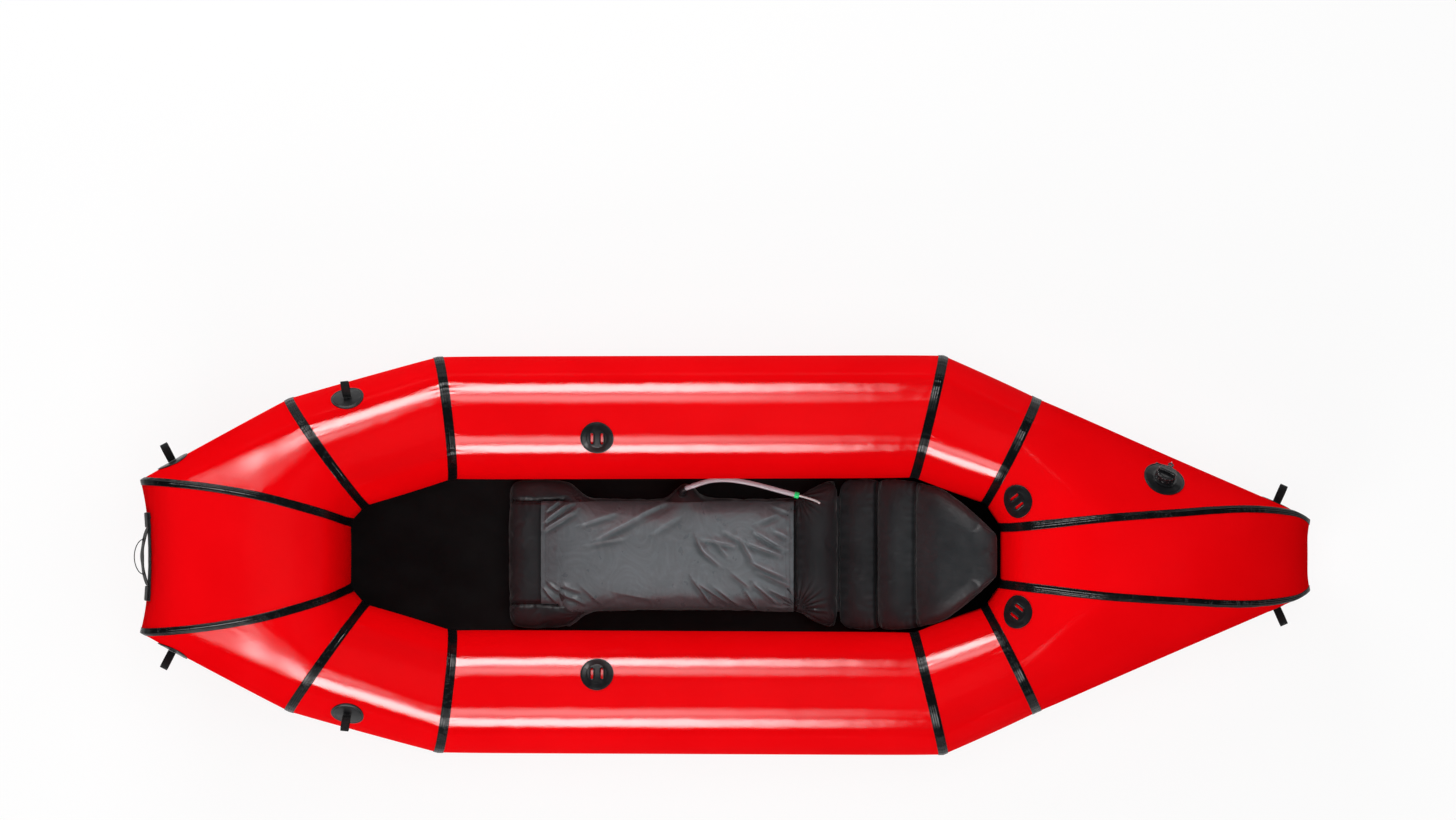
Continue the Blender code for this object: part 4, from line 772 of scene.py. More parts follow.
def panel_gloss(name, grid):
    """How glossy the cloth still is: worn dull towards both ends of the boat."""
    x = grid[:, :, 0]
    if "bow_quarter" in name:
        return 0.13 + 0.50 * bell((x + 0.870) / 0.040) + 0.42 * bell((x + 0.955) / 0.030)
    if x.mean() < 0:
        return 1 - 0.62 * np.clip((-0.86 - x) / 0.22, 0, 1)
    return 1 - (0.18 if "aft" in name else 0.90) * np.clip((x - 0.60) / 0.10, 0, 1)


def make_panels():
    for name, (grid, normal, away) in PANELS.items():
        item = grid_object(name + "_skin", grid, RED, True, faces_in(grid, normal, 4))
        point_values(item, "seam", np.exp(-away / SEAM_FADE))
        point_values(item, "gloss", panel_gloss(name, grid))
        finished(item, name)


def make_tapes():
    """Each tape follows the last rows of one panel and the first rows of the next."""
    reach = len(NEAR_ROWS) - 1
    for side in SIDES:
        turn = -1 if side == "port" else 1
        gores = [[a[::step] for a in PANELS[gore]] for gore, step in (
            ("bow_panel", turn), ("stern_panel", -turn))]
        order = [gores[0], *(PANELS[f"{side}_{n}"] for n in PANEL_NAMES), gores[1]]
        for seam, before, after in zip(SEAM_NAMES, order, order[1:]):
            middle = before[1][-1] + after[1][0]
            middle /= np.linalg.norm(middle, axis=1, keepdims=True)
            points = np.concatenate([before[0][-reach:-1], after[0][:reach]])
            normal = np.concatenate([before[1][-reach:-1], middle[None], after[1][1:reach]])
            grid = points + normal * TAPE_TOP
            item = grid_object(f"{side}_{seam}_tape_strip", grid, TAPE, True,
                               faces_in(grid, normal, 0))
            thicken(item, TAPE_THICKNESS)
            finished(item, f"{side}_{seam}_tape")


# The floor: a band up the outboard side of the tube all round, and the sheet inside it

FLOOR_TOP = 0.0011
FLOOR_LEAST = 0.0009
FLOOR_THICKNESS = 0.0008
FLOOR_ACROSS = 48
BAND_COLUMNS = 17
BOTTOM_COLUMN = COLUMNS * 3 // 4


def tube_ring():
    """Dressed rows and normals right round the boat: port side, stern, starboard side, bow."""
    order = [("port_" + n, 1) for n in PANEL_NAMES] + [("stern_panel", 1)]
    order += [("starboard_" + n, -1) for n in PANEL_NAMES[::-1]] + [("bow_panel", -1)]
    return (np.concatenate([PANELS[name][k][::step][:-1] for name, step in order])
            for k in (0, 1))


def make_floor():
    ring, normal = tube_ring()
    columns = slice(BOTTOM_COLUMN - BAND_COLUMNS, BOTTOM_COLUMN + 1)
    band = ring[:, columns] + normal[:, columns] * FLOOR_TOP
    band[:, :, 2] = np.maximum(band[:, :, 2], FLOOR_LEAST)
    frayed = ripples(77, len(ring), (20, 160)) * 0.0009
    edge = band[:, 0] - band[:, 1]
    band[:, 0] += edge / np.linalg.norm(edge, axis=1, keepdims=True) * frayed[:, None]
    band = np.concatenate([band, band[:1]])
    side_rows = sum(len(PANELS["port_" + n][0]) - 1 for n in PANEL_NAMES)
    share = np.linspace(0, 1, FLOOR_ACROSS)
    ones = np.ones(FLOOR_ACROSS)
    sheet = band[:side_rows + 1, -1:] * np.stack([ones, 1 - 2 * share, ones], axis=1)
    x, y = sheet[:, :, 0], sheet[:, :, 1]
    middle = 4 * share * (1 - share)
    sag = 0.0016 * np.sin(x * 46 + y * 31) * np.sin(y * 57) + 0.0010 * np.sin(x * 23 - y * 71)
    sheet[:, :, 2] += np.maximum(sag * middle, -sheet[:, :, 2] + FLOOR_LEAST) * (middle > 0)
    points = np.concatenate([band.reshape(-1, 3), sheet.reshape(-1, 3)])
    faces = grid_faces(*band.shape[:2]) + grid_faces(*sheet.shape[:2], start=band.size // 3)
    item = welded(mesh_object("floor_sheet", points, faces, FLOOR_CLOTH), 0.00002)
    thicken(item, FLOOR_THICKNESS, 0.0)
    finished(item, "floor")


make_panels()
make_tapes()
make_floor()


# Frames of the fittings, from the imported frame's joints, mounts and solids

HINGES = {joint["child"]: joint for joint in frame["joints"] if "pos_m" in joint}
MOUNTS = {mount["name"]: mount for mount in frame["record"]["mounts"]}
# Directions in which the fittings point, seen from above on the port side
LOOP_POINTING = {"bow": (-0.55, 0.83), "fore": (0.0, 1.0), "stern": (0.60, 0.80)}
LASH_POINTING = {"mid": (0.0, 1.0), "aft": (0.0, 1.0)}
VALVE_POINTING = (0.5, 0.86)
# Height of a lash patch's mount over the skin, and thickness of the floor over its mount
LASH_MOUNT_HEIGHT = 0.0074
SOLID_FLOOR_THICKNESS = 0.0009
# Place of the bow handle round the gore, and height of its strap's ends over it
HANDLE_ANGLE = math.radians(161)
HANDLE_LIFT = 0.0052
RAY_START = 0.03


def skin_tree():
    points, faces = [], []
    for grid, _, _ in PANELS.values():
        faces += grid_faces(*grid.shape[:2], closed=True, start=len(points))
        points += [Vector(p) for p in grid.reshape(-1, 3)]
    return BVHTree.FromPolygons(points, faces)


SKIN = skin_tree()


def framed(place, along, up):
    """A frame from its place, its X and its Z."""
    matrix = Matrix((along, up.cross(along), up)).transposed().to_4x4()
    matrix.translation = place
    return matrix


def square_to(axis, pointing):
    """The direction square to an axis that is nearest to level across a pointing direction."""
    across = Vector((pointing[1], -pointing[0], 0))
    return (across - axis * across.dot(axis)).normalized()


def loop_frame(hinge, pointing):
    along = Vector(hinge["axis"])
    up = square_to(along, pointing)
    return framed(Vector(hinge["pos_m"]), along, -up if up.z < 0 else up)


def faced_frame(joint, pointing, height=0.0):
    """A frame whose Z is the axis of a joint or mount that stands at a height in it."""
    up = Vector(joint["axis"])
    return framed(Vector(joint["pos_m"]) - up * height, square_to(up, pointing), up)


def handle_frame():
    """Over the middle of the bow gore: Z out of it, X along the handle to port."""
    place = Vector(gore_points(0, np.full((1, 1), 0.5), np.array([HANDLE_ANGLE]))[0, 0])
    facet = piece_tree(NODES["bow_panel"]).find_nearest(place)[1]
    up = Vector((facet.x, 0, facet.z)).normalized()
    return framed(place + up * HANDLE_LIFT, Vector((0, 1, 0)), up)


def seat_frame():
    """The cockpit floor between the fore and aft seams: X along it, Z square to it."""
    under = MOUNTS["floor_underside"]
    up = -Vector(under["axis"])
    along = Vector((up.z, 0, -up.x))
    place = Vector(under["pos_m"]) + up * SOLID_FLOOR_THICKNESS
    return framed(place + along * (HULL_CENTRE_X - place.x) / along.x, along, up)


PORT_FRAMES = {f"{place}_loop": loop_frame(HINGES[f"port_{place}_loop"], pointing)
               for place, pointing in LOOP_POINTING.items()}
PORT_FRAMES.update({f"{place}_lash_patch": faced_frame(
    MOUNTS[f"port_{place}_lash"], pointing, LASH_MOUNT_HEIGHT)
                    for place, pointing in LASH_POINTING.items()})


def fitting_frame(key, side, lift=0.0):
    """Frame of a fitting on either side, right-handed, and moved along its Z by a lift."""
    matrix = PORT_FRAMES[key] @ Matrix.Translation((0, 0, lift))
    if side == "starboard":
        matrix = Matrix.Diagonal((1, -1, 1, 1)) @ matrix @ Matrix.Diagonal((-1, 1, 1, 1))
    return matrix


def up_of(frame):
    return frame.col[2].to_3d()


def skin_height(frame, x, y):
    """How high the dressed skin stands in a frame, below or above its XY plane."""
    hit = SKIN.ray_cast(frame @ Vector((x, y, RAY_START)), -up_of(frame))[0]
    return 0 if hit is None else (frame.inverted() @ hit).z


def line_frames(points):
    """Tangent, side and up directions along a line, carried on without twisting."""
    tangents = np.gradient(points, axis=0)
    tangents /= np.linalg.norm(tangents, axis=1, keepdims=True)
    side = np.cross(tangents[0], (0.0, 0.0, 1.0))
    if np.linalg.norm(side) < 0.1:
        side = np.cross(tangents[0], (0.0, 1.0, 0.0))
    frames = []
    for tangent in tangents:
        side = side - tangent * np.dot(side, tangent)
        side /= np.linalg.norm(side)
        frames.append((tangent, side, np.cross(tangent, side)))
    return frames


def tube_piece(name, points, radii, material, sides=16):
    """A round closed tube with domed ends along a line, with a radius at each of its points."""
    points = np.array(points)
    radii = np.broadcast_to(radii, len(points))
    angles = np.arange(sides) * TURN / sides
    frames = line_frames(points)
    dome = (0.02, 0.6, 0.9)
    sequence = [(0, share, -1) for share in dome]
    sequence += [(n, 1.0, 0) for n in range(len(points))]
    sequence += [(-1, share, 1) for share in dome[::-1]]
    rows = []
    for n, share, push in sequence:
        tangent, side, up = frames[n]
        ring = np.outer(np.cos(angles), side) + np.outer(np.sin(angles), up)
        back = push * radii[n] * 0.5 * math.sqrt(1 - share * share)
        rows.append(points[n] + tangent * back + ring * radii[n] * share)
    grid = np.array(rows)
    round_ = np.abs(angles[None] - math.pi) * radii[len(points) // 2]
    uv = np.stack(np.broadcast_arrays(round_, line_run(grid.mean(axis=1))[:, None]), axis=2)
    item = capped(grid_object(name, grid, material, closed=True, uv=uv), sides)
    item.data.shade_smooth()
    return item


def round_piece(name, frame, profile, material, segments=72, outline=None, wobble=None,
                follow=False):
    """A piece made of rings of radius and height round a frame's Z.

    It may follow the skin's height, and a function may shape its outline or its height.
    """
    rows = []
    for radius, height in profile:
        row = []
        for angle in np.arange(segments) * TURN / segments:
            reach = outline(angle, radius, height) if outline else radius
            x, y = reach * math.cos(angle), reach * math.sin(angle)
            z = height + (skin_height(frame, x, y) if follow else 0)
            row.append((x, y, z + (wobble(x, y) if wobble else 0)))
        rows.append(row)
    return welded(grid_object(name, placed(frame, rows), material, closed=True,
                              uv=np.array(rows)[:, :, :2]))


def signed_power(value, power):
    return np.sign(value) * np.abs(value) ** power


def rounded_block(name, frame, centre, size, material, squareness=6.0, shape=None):
    """A closed block with well rounded edges and corners, in a frame."""
    up = np.linspace(-math.pi / 2, math.pi / 2, 21)[:, None]
    round_ = (np.arange(56) * TURN / 56)[None]
    unit = [signed_power(part, 2 / squareness) for part in (
        np.cos(up), np.cos(round_), np.sin(round_), np.sin(up))]
    local = np.stack(np.broadcast_arrays(unit[0] * unit[1], unit[0] * unit[2], unit[3]), axis=2)
    local = local * np.array(size) / 2 + np.array(centre)
    if shape is not None:
        shape(local)
    return welded(grid_object(name, placed(frame, local), material, closed=True,
                              uv=local[:, :, :2]))


def stitching(name, lines, spacing, length, radius, body="hull", slot="webbing"):
    """Short threads sunk in a surface. Each line is a list of points and normals."""
    sections, sides = 6, 6
    shares = np.linspace(-1, 1, sections)
    ring = np.arange(sides) * TURN / sides
    points, faces = [], []
    for line in lines:
        places = np.array([p for p, _ in line], float)
        normals = np.array([n for _, n in line], float)
        run = line_run(places)
        for at in np.arange(spacing / 2, run[-1], spacing):
            span = at + shares * length / 2
            path = np.stack([np.interp(span, run, places[:, k]) for k in range(3)], axis=1)
            normal = np.array([np.interp(at, run, normals[:, k]) for k in range(3)])
            normal /= np.linalg.norm(normal)
            side = np.cross(path[-1] - path[0], normal)
            side /= max(np.linalg.norm(side), 1e-9)
            start = len(points)
            for share, place in zip(shares, path):
                thick = radius * math.sqrt(max(0.05, 1 - share ** 4))
                middle = place + normal * radius * (0.75 - 0.9 * share ** 2)
                points += [middle + side * thick * math.cos(a) + normal * thick * math.sin(a)
                           for a in ring]
            for r in range(sections - 1):
                for c in range(sides):
                    a, b = start + sides * r + c, start + sides * r + (c + 1) % sides
                    faces.append((a, b, b + sides, a + sides))
            faces.append(tuple(start + n for n in range(sides - 1, -1, -1)))
            faces.append(tuple(range(len(points) - sides, len(points))))
    finished(mesh_object(name, points, faces, THREAD), body=body, slot=slot)


def frame_line(frame, corners, height, steps=6):
    """Points and normals of a line between corners at a height in a frame."""
    places = [(x0 + (x1 - x0) * t, y0 + (y1 - y0) * t)
              for (x0, y0), (x1, y1) in zip(corners, corners[1:])
              for t in np.arange(steps) / steps]
    return [(frame @ Vector((x, y, height)), up_of(frame)) for x, y in places + [corners[-1]]]


def crossed_box(frame, x, y, height):
    """Sewn lines round a box and across its corners."""
    return [frame_line(frame, corners, height) for corners in (
        ((-x, -y), (x, -y), (x, y), (-x, y), (-x, -y)), ((-x, -y), (x, y)), ((-x, y), (x, -y)))]


def puckers(seed, size):
    """Small uneven waves that a welded patch shows."""
    random = np.random.default_rng(seed)
    waves = [(random.uniform(90, 420), random.uniform(0, TURN), random.uniform(0, TURN))
             for _ in range(6)]

    def height(x, y):
        return size * sum(math.sin(k * (x * math.cos(a) + y * math.sin(a)) + p)
                          for k, a, p in waves) / 3
    return height


# Tie-down patches with their webbing loops. Profiles are radii and heights above the skin

PATCH_PROFILE = (
    (0.0, 0.0026), (0.006, 0.0026), (0.012, 0.0026), (0.018, 0.0025), (0.024, 0.0024),
    (0.0285, 0.0024), (0.0298, 0.0022), (0.0304, 0.0018), (0.0310, 0.0018), (0.0316, 0.0023),
    (0.0326, 0.0026), (0.0334, 0.0025), (0.0339, 0.0020), (0.0340, 0.0013), (0.0338, 0.0007),
    (0.0330, 0.0003), (0.015, 0.0003), (0.0, 0.0003))
PATCH_TOP = 0.0026
PATCH_SEWN_RADIUS = 0.0274
LOOP_AXIS_HEIGHT = 0.0078
WEBBING_WIDTH = 0.0165
WEBBING_THICKNESS = 0.0016
WEBBING_EDGE = 0.0004
LOOP_PATH = ((0.45, 0.14), (0.80, 0.36), (1.00, 0.62), (0.80, 0.86))
LOOP_ROOT = 0.0022
LOOP_REACH = 0.0352
LOOP_BULGE = 0.00705
FOOT_HALF = (WEBBING_WIDTH / 2, 0.0065)


def make_loop(place, side, seed):
    name = f"{side}_{place}_loop"
    hinge = fitting_frame(place + "_loop", side)
    frame = fitting_frame(place + "_loop", side, -LOOP_AXIS_HEIGHT)
    disc = round_piece(name + "_patch_disc", frame, PATCH_PROFILE, RUBBER,
                       wobble=puckers(seed, 0.00018), follow=True)
    finished(disc, name + "_patch")
    half_x, half_y = FOOT_HALF
    finished(rounded_block(name + "_foot", frame, (0, 0, 0.0031),
                           (2 * half_x, 2 * half_y, 0.0023), WEBBING, 8.0))
    ring = [(PATCH_SEWN_RADIUS * math.cos(a), PATCH_SEWN_RADIUS * math.sin(a))
            for a in (TURN * n / 72 for n in range(73))]
    ring = [(frame @ Vector((x, y, PATCH_TOP + skin_height(frame, x, y))), up_of(frame))
            for x, y in ring]
    lines = crossed_box(frame, 0.80 * half_x, 0.76 * half_y, 0.00416)
    stitching(name + "_stitches", lines + [ring], 0.0026, 0.0019, 0.00026)
    path = [(0, -LOOP_ROOT), (LOOP_ROOT, 0)]
    path += [(LOOP_BULGE * across, LOOP_REACH * up) for across, up in LOOP_PATH]
    path.append((0, LOOP_REACH))
    path += [(-a, b) for a, b in path[-2:0:-1]]
    line = smooth_line(path, 6, closed=True)
    random = np.random.default_rng(seed + 50)
    lean, twist = random.uniform(-0.0006, 0.0006), random.uniform(-0.05, 0.05)
    rows = []
    for y, z in [*line, line[0]]:
        free = max(z, 0) / LOOP_REACH
        swing = math.sin(math.pi * free)
        rows.append([(s * half_x * (1 - 0.02 * free), y + (lean + twist * s * half_x) * swing
                      + 0.00025 * (1 - s * s) * free, z) for s in np.linspace(-1, 1, 13)])
    band = welded(grid_object(name + "_band", placed(hinge, rows), WEBBING))
    thicken(band, WEBBING_THICKNESS, 0.0, WEBBING_EDGE)
    finished(band, name, body=name)


# Lash patches: a dome with a flat raised middle and two slots

LASH_TURNS = {"mid": 0.0, "aft": math.radians(-54)}
LASH_RADIUS = 0.034
LASH_PLATEAU_RADIUS = 0.0185
LASH_HEIGHT = 0.0075
LASH_RIM_HEIGHT = 0.0024
LASH_THICKNESS = 0.0018
SLOT_PITCH_HALF = 0.01025
SLOT_HALF = 0.0092
SLOT_RADIUS = 0.00275


def slot_distance(x, y, turn):
    """Distance from the edge of the nearer slot of a lash patch, less than 0 inside it."""
    u = abs(x * math.cos(turn) + y * math.sin(turn)) - SLOT_PITCH_HALF
    v = max(abs(-x * math.sin(turn) + y * math.cos(turn)) - SLOT_HALF, 0)
    return math.hypot(u, v) - SLOT_RADIUS


def lash_height(frame, x, y, radius, turn):
    base = LASH_HEIGHT - 0.0009 * (radius / LASH_PLATEAU_RADIUS) ** 2
    if radius > LASH_PLATEAU_RADIUS:
        share = (radius - LASH_PLATEAU_RADIUS) / (LASH_RADIUS - LASH_PLATEAU_RADIUS)
        rim = skin_height(frame, x, y) + LASH_RIM_HEIGHT
        base += (rim - base) * math.sin(share * math.pi / 2)
    base += 0.0007 * bell((slot_distance(x, y, turn) - 0.0014) / 0.0011)
    return base - 0.0006 * bell((radius - 0.0312) / 0.0005) + 0.0004 * bell(
        (radius - 0.0200) / 0.0007)


def slot_cutter(name, frame, turn):
    ends = [math.pi * n / 19 for n in range(20)]
    outline = [(SLOT_RADIUS * math.cos(a), SLOT_HALF + SLOT_RADIUS * math.sin(a)) for a in ends]
    outline += [(-u, -v) for u, v in outline]
    count = len(outline)
    frame = frame @ Matrix.Rotation(turn, 4, "Z")
    points, faces = [], []
    for middle in (-SLOT_PITCH_HALF, SLOT_PITCH_HALF):
        start = len(points)
        points += [frame @ Vector((u + middle, v, z)) for z in (0.0, 0.012) for u, v in outline]
        faces += grid_faces(2, count, closed=True, start=start)
        faces.append(tuple(range(start, start + count)))
        faces.append(tuple(range(start + count, start + 2 * count)))
    return welded(mesh_object(name, points, faces, RUBBER))


def make_lash(place, side, seed):
    name = f"{side}_{place}_lash_patch"
    frame = fitting_frame(place + "_lash_patch", side)
    turn = SIDES[side] * LASH_TURNS[place]
    bumps = puckers(seed, 0.00008)
    segments, rings = 144, 46
    rows = []
    for r in range(rings):
        radius = LASH_RADIUS * (r / (rings - 1)) ** 0.85
        ring = [(radius * math.cos(a), radius * math.sin(a))
                for a in np.arange(segments) * TURN / segments]
        rows.append([(x, y, lash_height(frame, x, y, radius, turn) + bumps(x, y))
                     for x, y in ring])
    shell = welded(grid_object(name + "_dome", placed(frame, rows), RUBBER, closed=True,
                               uv=np.array(rows)[:, :, :2]))
    face_up(shell, up_of(frame))
    thicken(shell, LASH_THICKNESS)
    cutter = slot_cutter(name + "_cutter", frame, turn)
    add_modifier(shell, "BOOLEAN", object=cutter, operation="DIFFERENCE", solver="EXACT")
    applied(shell)
    bpy.data.objects.remove(cutter)
    finished(shell, name)


# Valve with its cap and tether, and the poppet's spring

VALVE_FRAME = faced_frame(HINGES["valve_cap"], VALVE_POINTING)
FLANGE_PROFILE = (
    (0.0204, 0.0026), (0.0220, 0.0027), (0.0245, 0.0027), (0.0280, 0.0026), (0.0330, 0.0025),
    (0.0370, 0.0024), (0.0388, 0.0022), (0.0394, 0.0017), (0.0400, 0.0017), (0.0406, 0.0023),
    (0.0418, 0.0026), (0.0427, 0.0023), (0.0430, 0.0015), (0.0428, 0.0007), (0.0415, 0.0003),
    (0.0300, 0.0003), (0.0210, 0.0003), (0.0204, 0.0010), (0.0204, 0.0026))
CAP_PROFILE = (
    (0.0, 0.0214), (0.006, 0.0214), (0.0150, 0.0213), (0.0168, 0.0213), (0.0172, 0.0209),
    (0.0178, 0.0209), (0.0182, 0.0213), (0.0200, 0.0210), (0.0209, 0.0205), (0.0213, 0.0197),
    (0.0214, 0.0188), (0.0214, 0.0180), (0.0214, 0.0160), (0.0214, 0.0140), (0.0214, 0.0124),
    (0.0214, 0.0112), (0.0215, 0.0106), (0.0215, 0.0095), (0.0211, 0.0091), (0.0190, 0.0090),
    (0.0184, 0.0093), (0.0183, 0.0098), (0.0183, 0.0140), (0.0178, 0.0144), (0.0, 0.0144))
SCALLOP_START = 0.0105
GRIP_HALF = 0.0185
TETHER_HEIGHTS = (0.0071, 0.0087)
EYE_PLACE = 0.0393
SPRING_ENDS = (-0.0187, -0.0068)
SPRING_RADIUS = 0.0036
SPRING_WIRE = 0.00045


def cap_outline(angle, radius, height):
    """Scallops for the fingers round the upper part of the cap."""
    if radius < 0.0190 or height < SCALLOP_START:
        return radius
    deep = min(1.0, (height - SCALLOP_START) / 0.0012)
    return radius - 0.0017 * deep * max(0.0, math.cos(12 * angle)) ** 3


def flange_outline(angle, radius, height):
    """The round flange with the small tab by which it was lined up."""
    away = math.remainder(angle - math.radians(128), TURN)
    return radius + 0.0045 * max(0.0, (radius - 0.034) / 0.009) * bell(away / 0.075)


def ring_profile(inner, outer, base, top):
    """A closed profile with rounded corners, for a flat ring."""
    angles = [-TURN * n / 24 for n in range(25)]
    return [((inner + outer) / 2 + (outer - inner) / 2 * signed_power(math.cos(a), 0.35),
             (base + top) / 2 + (top - base) / 2 * signed_power(math.sin(a), 0.35))
            for a in angles]


def waisted(local):
    local[:, :, 1] *= 0.72 + 0.28 * (local[:, :, 0] / GRIP_HALF) ** 2


def arched(local):
    local[:, :, 2] += 0.0007 * np.sin((local[:, :, 1] - 0.0209) / 0.018 * math.pi)


def make_valve():
    frame, plastic = VALVE_FRAME, VALVE_PLASTIC
    flange = round_piece("valve_flange_disc", frame, FLANGE_PROFILE, RUBBER, 120,
                         flange_outline, puckers(5, 0.00020), True)
    finished(flange, "valve_flange")
    cap = round_piece("valve_cap_cup", frame, CAP_PROFILE, plastic, 144, cap_outline)
    finished(cap, "valve_cap", body="valve_cap")
    grip = rounded_block("valve_cap_grip", frame, (0, 0, 0.0240),
                         (2 * GRIP_HALF, 0.0092, 0.0068), plastic, 5.0, waisted)
    finished(grip, body="valve_cap")
    end = frame @ Matrix.Translation((0, EYE_PLACE, 0))
    link = end @ Matrix.Translation((0, 0.0043, 0.0079)) @ Matrix.Rotation(
        math.radians(62), 4, "Y")
    wire = [(0.0034 + 0.0006 * math.cos(TURN * n / 12), -0.0006 * math.sin(TURN * n / 12))
            for n in range(13)]
    ring = round_piece("cap_tether_ring", frame, ring_profile(0.0183, 0.0213, *TETHER_HEIGHTS),
                       plastic, 96)
    finished(ring, "cap_tether", body="cap_tether")
    for piece in (
            rounded_block("cap_tether_strap", frame, (0, 0.0282, 0.0079),
                          (0.0056, 0.0160, 0.0015), plastic, 7.0, arched),
            round_piece("cap_tether_eye", end, ring_profile(0.0026, 0.0060, *TETHER_HEIGHTS),
                        plastic, 48),
            round_piece("cap_tether_link", link, wire, STEEL, 40)):
        finished(piece, body="cap_tether")


def make_spring():
    """The poppet's return spring, made as it stands at rest."""
    low, high, turns, steps = SPRING_ENDS[0] + SPRING_WIRE, SPRING_ENDS[1] - SPRING_WIRE, 4, 24
    line = []
    for n in range(turns * steps + 1):
        share, angle = n / (turns * steps), TURN * n / steps
        rise = np.clip((share - 0.06) / 0.88, 0, 1)
        line.append(VALVE_FRAME @ Vector((
            SPRING_RADIUS * math.cos(angle), SPRING_RADIUS * math.sin(angle),
            low + (high - low) * rise)))
    spring = tube_piece("valve_spring_coil", line, SPRING_WIRE, STEEL, 10)
    finished(spring, "valve_spring")
    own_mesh(spring)


# The bow handle, sewn down at both ends, and the cord loop on it

HANDLE_FRAME = handle_frame()
HANDLE_HALF = 0.0584
HANDLE_RISE = 0.0121
CORD_RADIUS = 0.0010
CORD_HALF_SPAN = 0.035
END_PLACE = 0.0745
END_REACH = 0.0155


def handle_rise(x):
    """How high the handle's band stands, and how free it is of its ends."""
    free = math.sin(math.pi * (x / HANDLE_HALF + 1) / 2)
    return HANDLE_RISE * max(free, 0.0) ** 0.7, free


def band_row(x):
    rise, free = handle_rise(x)
    return [(x, side * (0.0125 + 0.0005 * math.sin(95 * x + side)),
             rise + 0.0005 * math.sin(150 * x + 1.3 * side) * free
             + 0.0006 * (1 - side * side) * free) for side in np.linspace(-1, 1, 13)]


def make_handle():
    wave = puckers(9, 0.00022)
    rows = [[(x, y, skin_height(HANDLE_FRAME, x, y) + 0.0029 + wave(x, y))
             for x in np.linspace(-0.090, 0.090, 91)] for y in np.linspace(-0.015, 0.015, 15)]
    strip = grid_object("bow_handle_strip", placed(HANDLE_FRAME, rows), WEBBING)
    face_up(strip, up_of(HANDLE_FRAME))
    thicken(strip, 0.0014, bevel=WEBBING_EDGE)
    finished(strip, "bow_handle_base")
    lines = []
    for side, sign in reversed(SIDES.items()):
        middle = sign * END_PLACE
        low, high = (skin_height(HANDLE_FRAME, middle + d, 0) for d in (-END_REACH, END_REACH))
        place = Matrix.Translation((middle, 0, (low + high) / 2 + 0.0030))
        tilt = Matrix.Rotation(-math.atan2(high - low, 2 * END_REACH), 4, "Y")
        pad_frame = HANDLE_FRAME @ (place @ tilt)
        finished(rounded_block(f"bow_handle_{side}_end", pad_frame, (0, 0, 0.0013),
                               (0.0305, 0.025, 0.0032), WEBBING, 9.0))
        x, y, height = 0.0128, 0.0102, 0.00278
        lines += crossed_box(pad_frame, x, y, height)
        lines.append(frame_line(pad_frame, ((-x, 0), (x, 0)), height))
    stitching("bow_handle_stitches", lines, 0.0028, 0.0021, 0.00034)
    rows = [band_row(HANDLE_HALF * (2 * share - 1)) for share in np.linspace(0, 1, 61)]
    band = grid_object("bow_handle_band", placed(HANDLE_FRAME, rows), WEBBING)
    thicken(band, 0.0018, 0.0, WEBBING_EDGE)
    finished(band, "bow_handle_strap")


def make_cord_loop():
    points = []
    for angle in (math.pi * n / 32 for n in range(33)):
        x = -CORD_HALF_SPAN * math.cos(angle)
        points.append(HANDLE_FRAME @ Vector((
            x, 0, handle_rise(x)[0] + 0.0025 + 0.0140 * math.sin(angle))))
    cord = tube_piece("bow_cord", points, CORD_RADIUS, CORD, 14)
    finished(cord, "bow_cord_loop")
    for side, knot in (("starboard", points[0]), ("port", points[-1])):
        knot_frame = HANDLE_FRAME.copy()
        knot_frame.translation = knot
        finished(round_piece(f"bow_cord_{side}_knot", knot_frame,
                             ring_profile(0.0009, 0.0024, -0.0012, 0.0008), CORD, 32))


for number, place in enumerate(LOOP_POINTING):
    make_loop(place, "port", 100 + number)
    make_loop(place, "starboard", 110 + number)
for number, place in enumerate(LASH_POINTING):
    make_lash(place, "port", 120 + number)
    make_lash(place, "starboard", 130 + number)
make_valve()
make_spring()
make_handle()
make_cord_loop()
NODES["valve_body"].data.materials[0] = VALVE_PLASTIC
# The poppet stays as it is in the CAD model
NODES["valve_poppet"].data.materials[0] = POPPET_PLASTIC


# Seat, cover, backrest and hose. Places are in the frames of the seat and of the backrest

HINGE_PLACE = (0.2403, 0, 0.030)
BACKREST_RECLINE = math.radians(26)
SEAT = seat_frame()
HINGE = SEAT @ Matrix.Translation(HINGE_PLACE)
BACKREST = HINGE @ Matrix.Rotation(-BACKREST_RECLINE, 4, "Y")
SEAT_BASE = 0.0004
COVER_START = -0.384
COVER_END = 0.1385
COVER_THICKNESS = 0.0008
COVER_GAP = 0.0026
BACKREST_BASE = -0.0215
MM = 1000

# Seat from front to rear, in mm: place, height, and half widths to port and to starboard
SEAT_PLAN = np.array((
    (-451.5, 26, 128, 130), (-446, 45, 143, 145), (-436, 56, 150, 151), (-415, 63, 153, 154),
    (-394, 61, 154, 155), (-376, 58, 153, 154), (-350, 63, 152, 153), (-325, 67, 147, 148),
    (-302, 69, 130, 133), (-282, 70, 118, 122), (-255, 71, 115, 118), (-190, 72, 114, 118),
    (-150, 72, 114, 118), (-125, 72, 120, 118), (-105, 71, 138, 118), (-88, 71, 148, 118),
    (-68, 71, 140, 118), (-42, 72, 120, 118), (20, 71, 116, 118), (90, 68, 115, 118),
    (125, 62, 115, 117), (141.5, 53, 118, 118), (158, 62, 125, 126), (175, 69, 134, 135),
    (195, 70, 144, 144), (212, 64, 151, 150), (221, 48, 151, 150), (224, 36, 146, 145))) / MM
